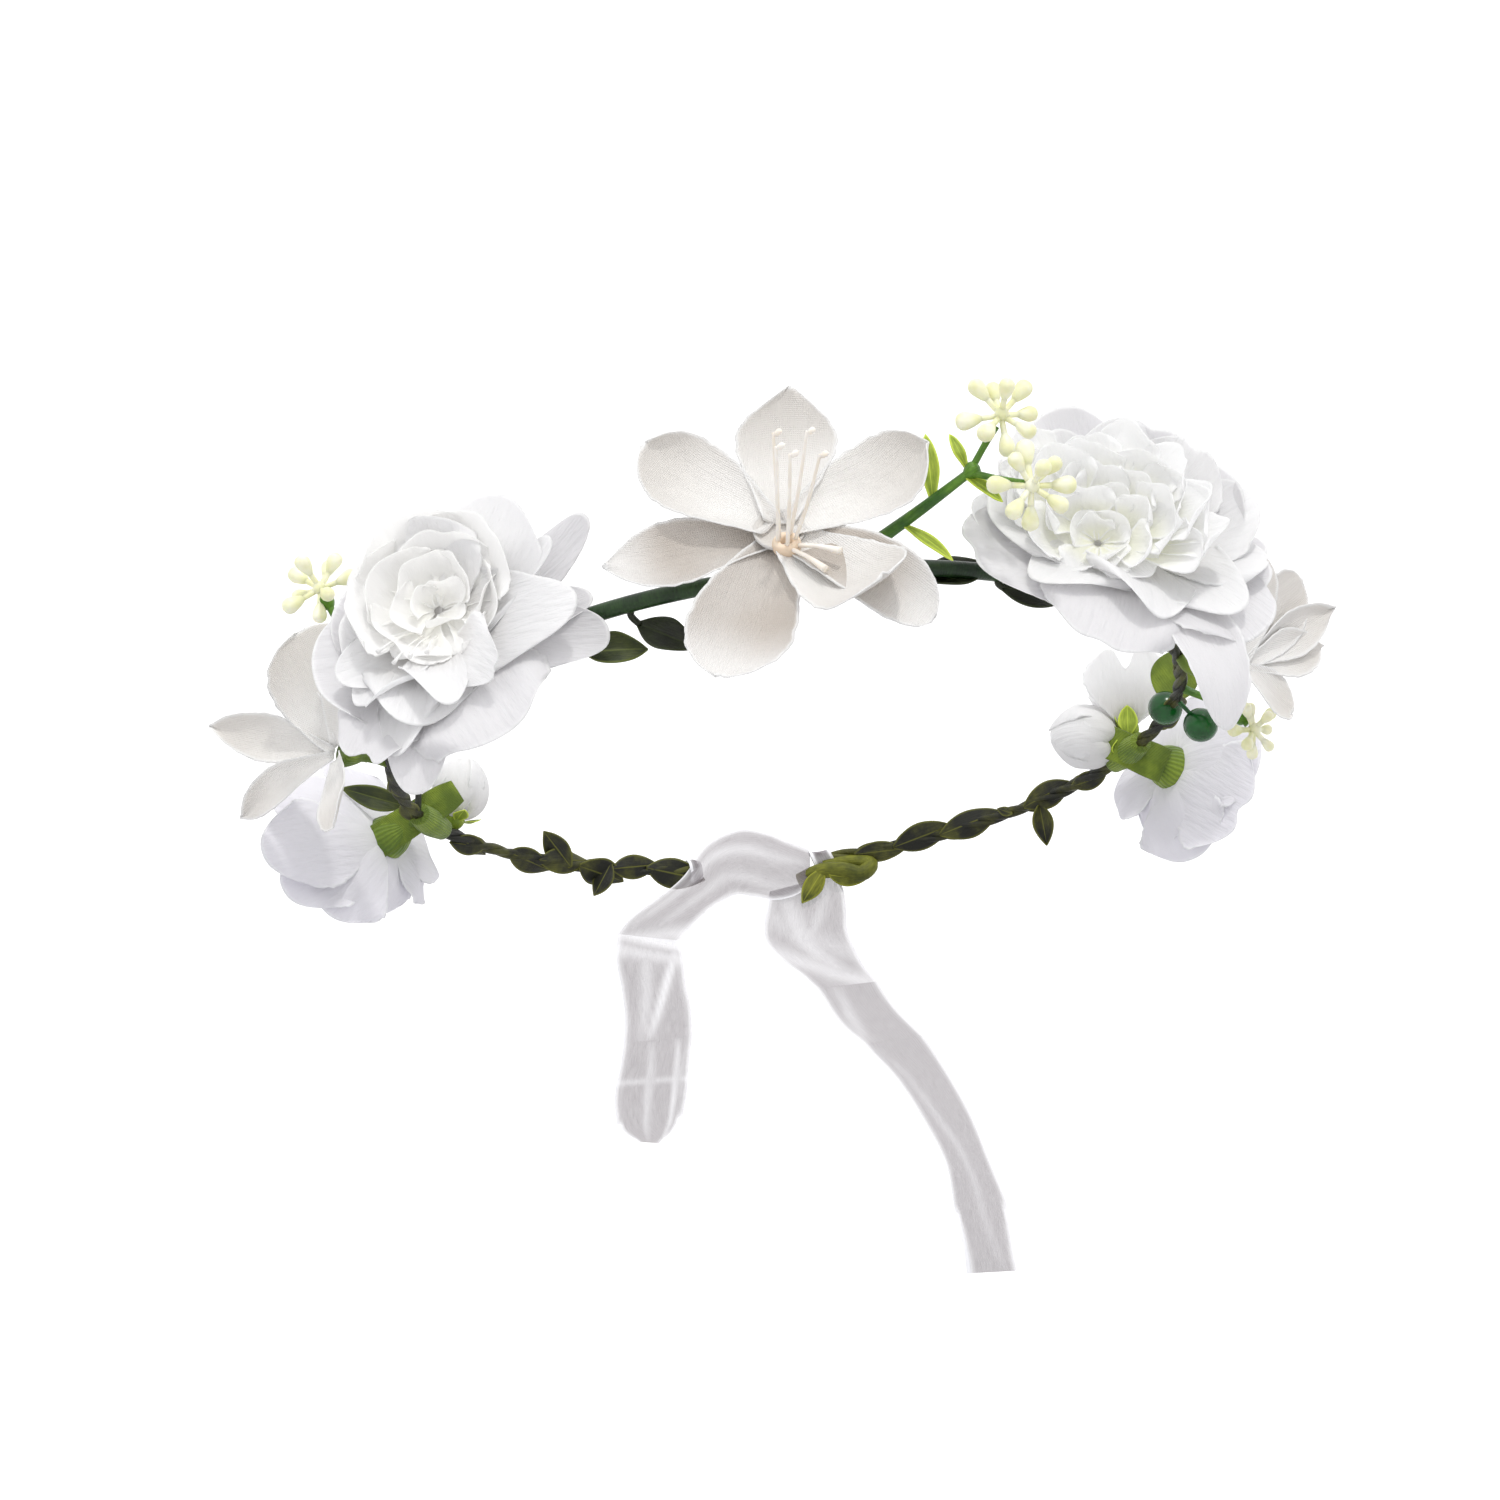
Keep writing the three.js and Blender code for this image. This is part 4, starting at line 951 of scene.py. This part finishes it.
b = Builder()
tube(b, [on_ring(d) for d in np.linspace(-61.7, 61.7, 40)], 1.9, 14, 90, uvs=20)
b.finish("front_stem", "stem", "vine_front", "stem")
b = Builder()
leafy_vine(b, -163, -62, 31, (
    (-155, 17, 8.2, 10, True), (-149, 14, 6.6, -8, True), (-147.5, 10, 5.4, -62, False),
    (-143, 15, 8.4, 12, True), (-140, 12, 6.6, 46, False), (-135.5, 16, 7.0, -8, True),
    (-129, 16, 6.6, 8, True), (-122, 13, 5.4, -8, False), (-117, 14, 5.6, 8, True),
    (-98, 13, 5, 10, True), (-88, 13, 5, -8, True), (-76, 13, 5, 8, True), (-68, 11, 5, -8, True),
))
b.finish("left_vine", "vine", "vine_left", "paper", PAPER_T)
b = Builder()
leafy_vine(b, 178, 62, 32, (
    (171, 14, 5.6, 4, True), (164.5, 17, 7.4, -8, True), (156.5, 18, 7.6, -6, True),
    (145, 5, 2.6, 34, False), (141, 16, 7.0, -6, True), (131, 12, 5.0, 6, True), (106, 13, 5, 8, True),
    (96, 13, 6, -8, False), (86, 12, 5, 8, True), (72, 12, 5, -8, False),
))
b.finish("right_vine", "vine", "vine_right", "paper", PAPER_T)
# the bare end of the vine, turned back on itself
b = Builder()
turn_back = [(-2, 95, -5), (4, 93, -4), (10, 91.8, -5), (15, 91.6, -6.5), (17.5, 92.5, -4.2),
             (13, 93.4, -2.4), (5, 94, -2.0)]
tube(b, turn_back, [(0, 1.6), (0.3, 2.1), (0.7, 1.8), (1, 1.2)], 12, 44, uvs=5)
for start, d, face, length, width, seed in (
    ((5, 91.5, -4), (-0.62, -0.05, -0.78), (0, -1, -0.2), 11, 5.2, 3),
    ((6, 91, -6), (0.9, 0, -0.25), (0, -1, -0.4), 10, 5.0, 5),
):
    leaf(b, start, d, face, length, width, bend=0.1, fold=-0.25, seed=seed, kind="lens")
b.finish("vine_end_curl", "curl", thick=PAPER_T)
b = Builder()
tube(b, [on_ring(d) for d in np.linspace(-162.4, 177.4, 90)], 0.8, 8, 200)
b.finish("core_wire", "wire", "vine_wire", "wire")


# ---- tape bands ------------------------------------------------------------------
for name, deg, half, r in (
    ("tape_left_joint", -62, 3.4, 3.0), ("tape_right_joint", 62, 3.4, 3.0),
    ("tape_rear_left", -107, 4.2, 3.2), ("tape_rear_right", 117, 4.2, 3.2),
):
    b = Builder()
    path = [on_ring(d) for d in np.linspace(deg - half, deg + half, 7)]
    tube(b, path, [(0, r * 0.85), (0.5, r * 1.08), (1, r * 0.85)], 20, 20)
    b.finish(name + "_wrap", "tape", name, "tape")


# ---- the ribbon ------------------------------------------------------------------
def ribbon(build, rows, crease=(), streaks=(), steps=60, across=17, sag=0.0, hem_and_glint=0.0, slant=3.0, seed=0):
    """A strip between two edges, each row holding the left edge's x, y, z and the right
    edge's. crease marks painted highlights on folds across it as (place along, width, strength),
    and streaks marks painted highlights on folds along it as (first place across, last place,
    width, strength). sag lets its middle hang, and the hem value widens the bright edge towards
    its end, partly the woven hem and partly a painted glint."""
    rng = np.random.default_rng(seed)
    rows = np.asarray(rows, float)
    mid = (rows[:, :3] + rows[:, 3:]) / 2
    key = np.r_[0, np.cumsum(np.linalg.norm(np.diff(mid, axis=0), axis=1))]
    total = key[-1]
    s = np.linspace(0, total, steps)
    both = hermite(np.c_[key, rows], s)
    left, right = both[:, :3], both[:, 3:]
    t = np.linspace(0, 1, across)
    pts = left[None] * (1 - t)[:, None, None] + right[None] * t[:, None, None]
    tan = np.gradient((left + right) / 2, axis=0)
    nrm = np.cross(tan, right - left)
    nrm /= np.linalg.norm(nrm, axis=1, keepdims=True) + 1e-9
    wave = (0.5 * np.sin(s / 9.0 + rng.uniform(0, 6))[None] * np.sin(math.pi * t)[:, None]
            + 0.35 * np.sin(s / 4.3 + rng.uniform(0, 6))[None] * (t[:, None] - 0.5) * 2
            + sag * np.sin(math.pi * t)[:, None])
    calm = np.clip(np.minimum(s, total - s) / CALM_END, 0, 1)
    wave = wave * (calm * calm * (3 - 2 * calm))[None]
    pts = pts + nrm[None] * wave[..., None]
    w = np.linalg.norm(right - left, axis=1)
    near = np.minimum(t[:, None], 1 - t[:, None]) * w[None]
    # partly painted glint: near the end the bright woven edge widens by the hem value
    reach = HEM + hem_and_glint * np.clip((s / total - 0.72) / 0.1, 0, 1)[None]
    rim = np.where(near < reach, 1.0, np.exp(-np.maximum(near - reach, 0) / 0.3))
    # painted highlights: tone brightens the ribbon along its folds, both the lengthwise streaks and the
    # crosswise creases
    tone = np.zeros_like(near)
    for first, last, wide, strength in streaks:
        line = first + (last - first) * (s / total)[None] + 0.03 * np.sin(s / 5.0)[None]
        fade = np.sin(math.pi * np.clip(s / total, 0, 1)) ** 0.5
        tone = np.maximum(tone, strength * fade[None] * np.exp(-(((t[:, None] - line) / wide) ** 2)))
    for place, wide, strength in crease:
        off = s[None] - place - slant * (t[:, None] - 0.5)
        tone = np.maximum(tone, strength * np.exp(-((off / wide) ** 2)))
    uv = np.stack([t[:, None] * w[None], np.broadcast_to(s[None], near.shape)], -1) / 10
    build.grid(pts, uv, rim, tone)
    return total


b = Builder()
# the arch over the gap, from the left tail's bend to its pleats on the right vine
ribbon(b, (
    (-51, 84, -17, -35, 84, -21),
    (-47, 84.5, -13, -31, 84.5, -17),
    (-40, 86, -8, -27, 85, -14),
    (-32, 88, -2, -22, 86, -11),
    (-25, 89, 6, -18.5, 87, -9.5),
    (-16, 90, 9.6, -14, 88, -10.5),
    (-9, 91.2, 8.2, -9, 90, -11.5),
    (-3.5, 92.2, 5.2, -4.0, 91.5, -10.5),
    (2, 93.4, 2.6, 0.8, 92.5, -8.0),
), crease=((0, 3, 0.4), (60, 1.4, 0.3), (65, 1.4, 0.5)),
       streaks=((0.12, 0.40, 0.10, 0.35), (0.5, 0.85, 0.09, 0.25)), steps=90, seed=3, sag=-1.0, slant=6.0)
# the pleats round the vine at each end of the arch
for deg, wide, lean in ((-162, 3.5, 0.5), (177.0, 5.5, 0.8)):
    centre, out, up = ring_frame(deg)
    along = np.cross(up, out)
    rows = []
    for a in np.linspace(-0.3, 2 * math.pi + 0.3, 22):
        r = out * math.cos(a) + up * math.sin(a)
        c = centre + r * (2.5 + 0.2 * math.sin(3 * a)) + along * lean * math.sin(a)
        rows.append([*(c - along * wide / 2), *(c + along * wide / 2)])
    ribbon(b, rows, crease=((4, 1.4, 0.4), (10, 1.4, 0.4), (16, 1.6, 0.4)), slant=1.0, seed=int(deg) % 7)
# below the vine the ribbon turns over on itself and leaves as the right tail
ribbon(b, (
    (-10, 89.5, -9, 8, 94.5, -5),
    (-11, 89, -13, 9.5, 93.5, -10),
    (-12.5, 88, -18, 9.5, 93, -15.5),
    (-12.5, 87.5, -23.5, 9, 93, -21),
    (-9, 88, -29, 10.5, 92.5, -27),
    (-4.5, 87.5, -33.5, 12.5, 93, -32),
    (-1, 86.5, -38, 15, 94, -36),
), crease=((15, 4.0, 0.22), (27, 5, 0.4)), streaks=((0.15, 0.8, 0.14, 0.4), (0.8, 0.3, 0.08, 0.3)),
       steps=70, sag=-1.8, slant=16.0, seed=5)
b.finish("ribbon_tie_band", "organza", "ribbon_tie", "organza")


def tail(name, bodies, seed, rows, crease=(), streaks=(), hem_and_glint=0.0):
    """One half of a ribbon tail, which stands for the second of bodies and hides that
    body's CAD part."""
    b = Builder()
    length = ribbon(b, rows, crease, streaks, steps=70, hem_and_glint=hem_and_glint, seed=seed)
    obj = b.make(name, M["organza"])
    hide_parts(bodies[1])
    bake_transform(obj)


tail("tail_left_top", ("wreath", "tail_left_upper"), 11, (
    (-51, 84, -17, -35, 84, -21),
    (-52, 84, -24, -34.6, 84, -26),
    (-51.5, 84, -32, -34.6, 84.4, -33),
    (-51.5, 84, -40, -34, 84.5, -40),
    (-52.5, 84, -47, -34.4, 84, -47),
), crease=((0, 2.5, 0.8), (5, 2, 0.4)), streaks=((0.95, 0.38, 0.07, 0.7), (0.45, 0.3, 0.1, 0.35)))
tail("tail_left_end", ("tail_left_upper", "tail_left_lower"),
     12, (
    (-52.5, 84, -47, -34.4, 84, -47),
    (-54, 84, -53, -35.5, 84, -52),
    (-56, 84.3, -59, -36.5, 83.6, -57.5),
    (-56.5, 84.5, -65, -38, 83.6, -64),
    (-55.5, 84.4, -70, -41, 83.7, -71),
    (-52, 84.2, -73, -45, 83.8, -74.5),
), crease=((11, 0.9, 0.28),), streaks=((0.4, 0.5, 0.05, 0.4), (0.78, 0.86, 0.04, 0.6)), hem_and_glint=0.6)
tail("tail_right_top", ("wreath", "tail_right_upper"), 13, (
    (-1, 86.5, -38, 15, 94, -36),
    (4, 85.5, -48, 19.5, 95, -45),
    (9.5, 85, -55, 25, 95, -52),
), streaks=((0.3, 0.1, 0.1, 0.3),))
tail("tail_right_end", ("tail_right_upper", "tail_right_lower"),
     14, (
    (9.5, 85, -55, 25, 95, -52),
    (16, 85, -65, 30, 95.5, -62),
    (22, 84.5, -77, 34, 96, -74),
    (25.5, 84, -89, 37.5, 96, -86),
    (26.5, 84, -100, 40, 96, -98),
    (27, 84.5, -110, 41, 95.5, -109),
    (27.2, 85, -117.5, 41.2, 95, -116.5),
), streaks=((0.1, 0.7, 0.08, 0.2),), hem_and_glint=1.2)


# ---- stage, light and camera -----------------------------------------------------
def plane(name, size, location, rotation, colour, glow=0.0):
    mesh = bpy.data.meshes.new(name)
    h = size / 2
    mesh.from_pydata([(-h, -h, 0), (h, -h, 0), (h, h, 0), (-h, h, 0)], [], [(0, 1, 2, 3)])
    obj = bpy.data.objects.new(name, mesh)
    obj.location, obj.rotation_euler = location, rotation
    SCENE.collection.objects.link(obj)
    mat, nt, bsdf, out = nodes_for(name)
    wire(nt, bsdf, {"Base Color": (*colour, 1), "Roughness": 0.9, "Emission Color": (1, 1, 1, 1),
                    "Emission Strength": glow})
    mesh.materials.append(mat)


plane("floor", 80.0, (0, 0, -0.42), (0, 0, 0), (0.58, 0.58, 0.59))
plane("backdrop", 5.0, (0, 2.6, 1.0), (math.radians(90), 0, 0), (0.8, 0.8, 0.8), glow=0.42)

world = bpy.data.worlds.new("studio")
SCENE.world = world
world.use_nodes = True
wire(world.node_tree, world.node_tree.nodes["Background"],
     {"Color": (0.99, 0.99, 1.0, 1), "Strength": 1.14})


def lamp(name, kind, energy, location, size, colour=(1, 1, 1)):
    """A lamp that looks at the middle of the scene. size is in degrees for a sun and in
    metres for an area light."""
    data = bpy.data.lights.new(name, kind)
    data.energy, data.color = energy, colour
    if kind == "SUN":
        data.angle = math.radians(size)
    else:
        data.size = size
    obj = bpy.data.objects.new(name, data)
    obj.location = location
    obj.rotation_euler = (-Vector(location)).to_track_quat("-Z", "Y").to_euler()
    SCENE.collection.objects.link(obj)


lamp("key", "SUN", 1.1, (0.3, -0.95, 0.9), size=5.0, colour=(1.0, 0.99, 0.97))
lamp("fill", "AREA", 0.55, (-0.3, -1.1, -0.1), size=0.8)

# the camera looks up from below the ring's plane and leans to one side
ELEVATION, ROLL, DISTANCE = math.radians(-21.0), math.radians(7.4), 0.8
back = Vector((0, -math.cos(ELEVATION), math.sin(ELEVATION)))
right = Vector((1, 0, 0))
up = back.cross(right)
turned_right = right * math.cos(ROLL) - up * math.sin(ROLL)
turned_up = right * math.sin(ROLL) + up * math.cos(ROLL)
data = bpy.data.cameras.new("camera")
data.sensor_width = 36.0
data.lens = 79.9
data.shift_x, data.shift_y = -0.0251, -0.0101
camera = bpy.data.objects.new("camera", data)
camera.matrix_world = Matrix((turned_right, turned_up, back)).transposed().to_4x4()
camera.location = back * DISTANCE
SCENE.collection.objects.link(camera)
SCENE.camera = camera
SCENE.view_settings.view_transform = "Standard"
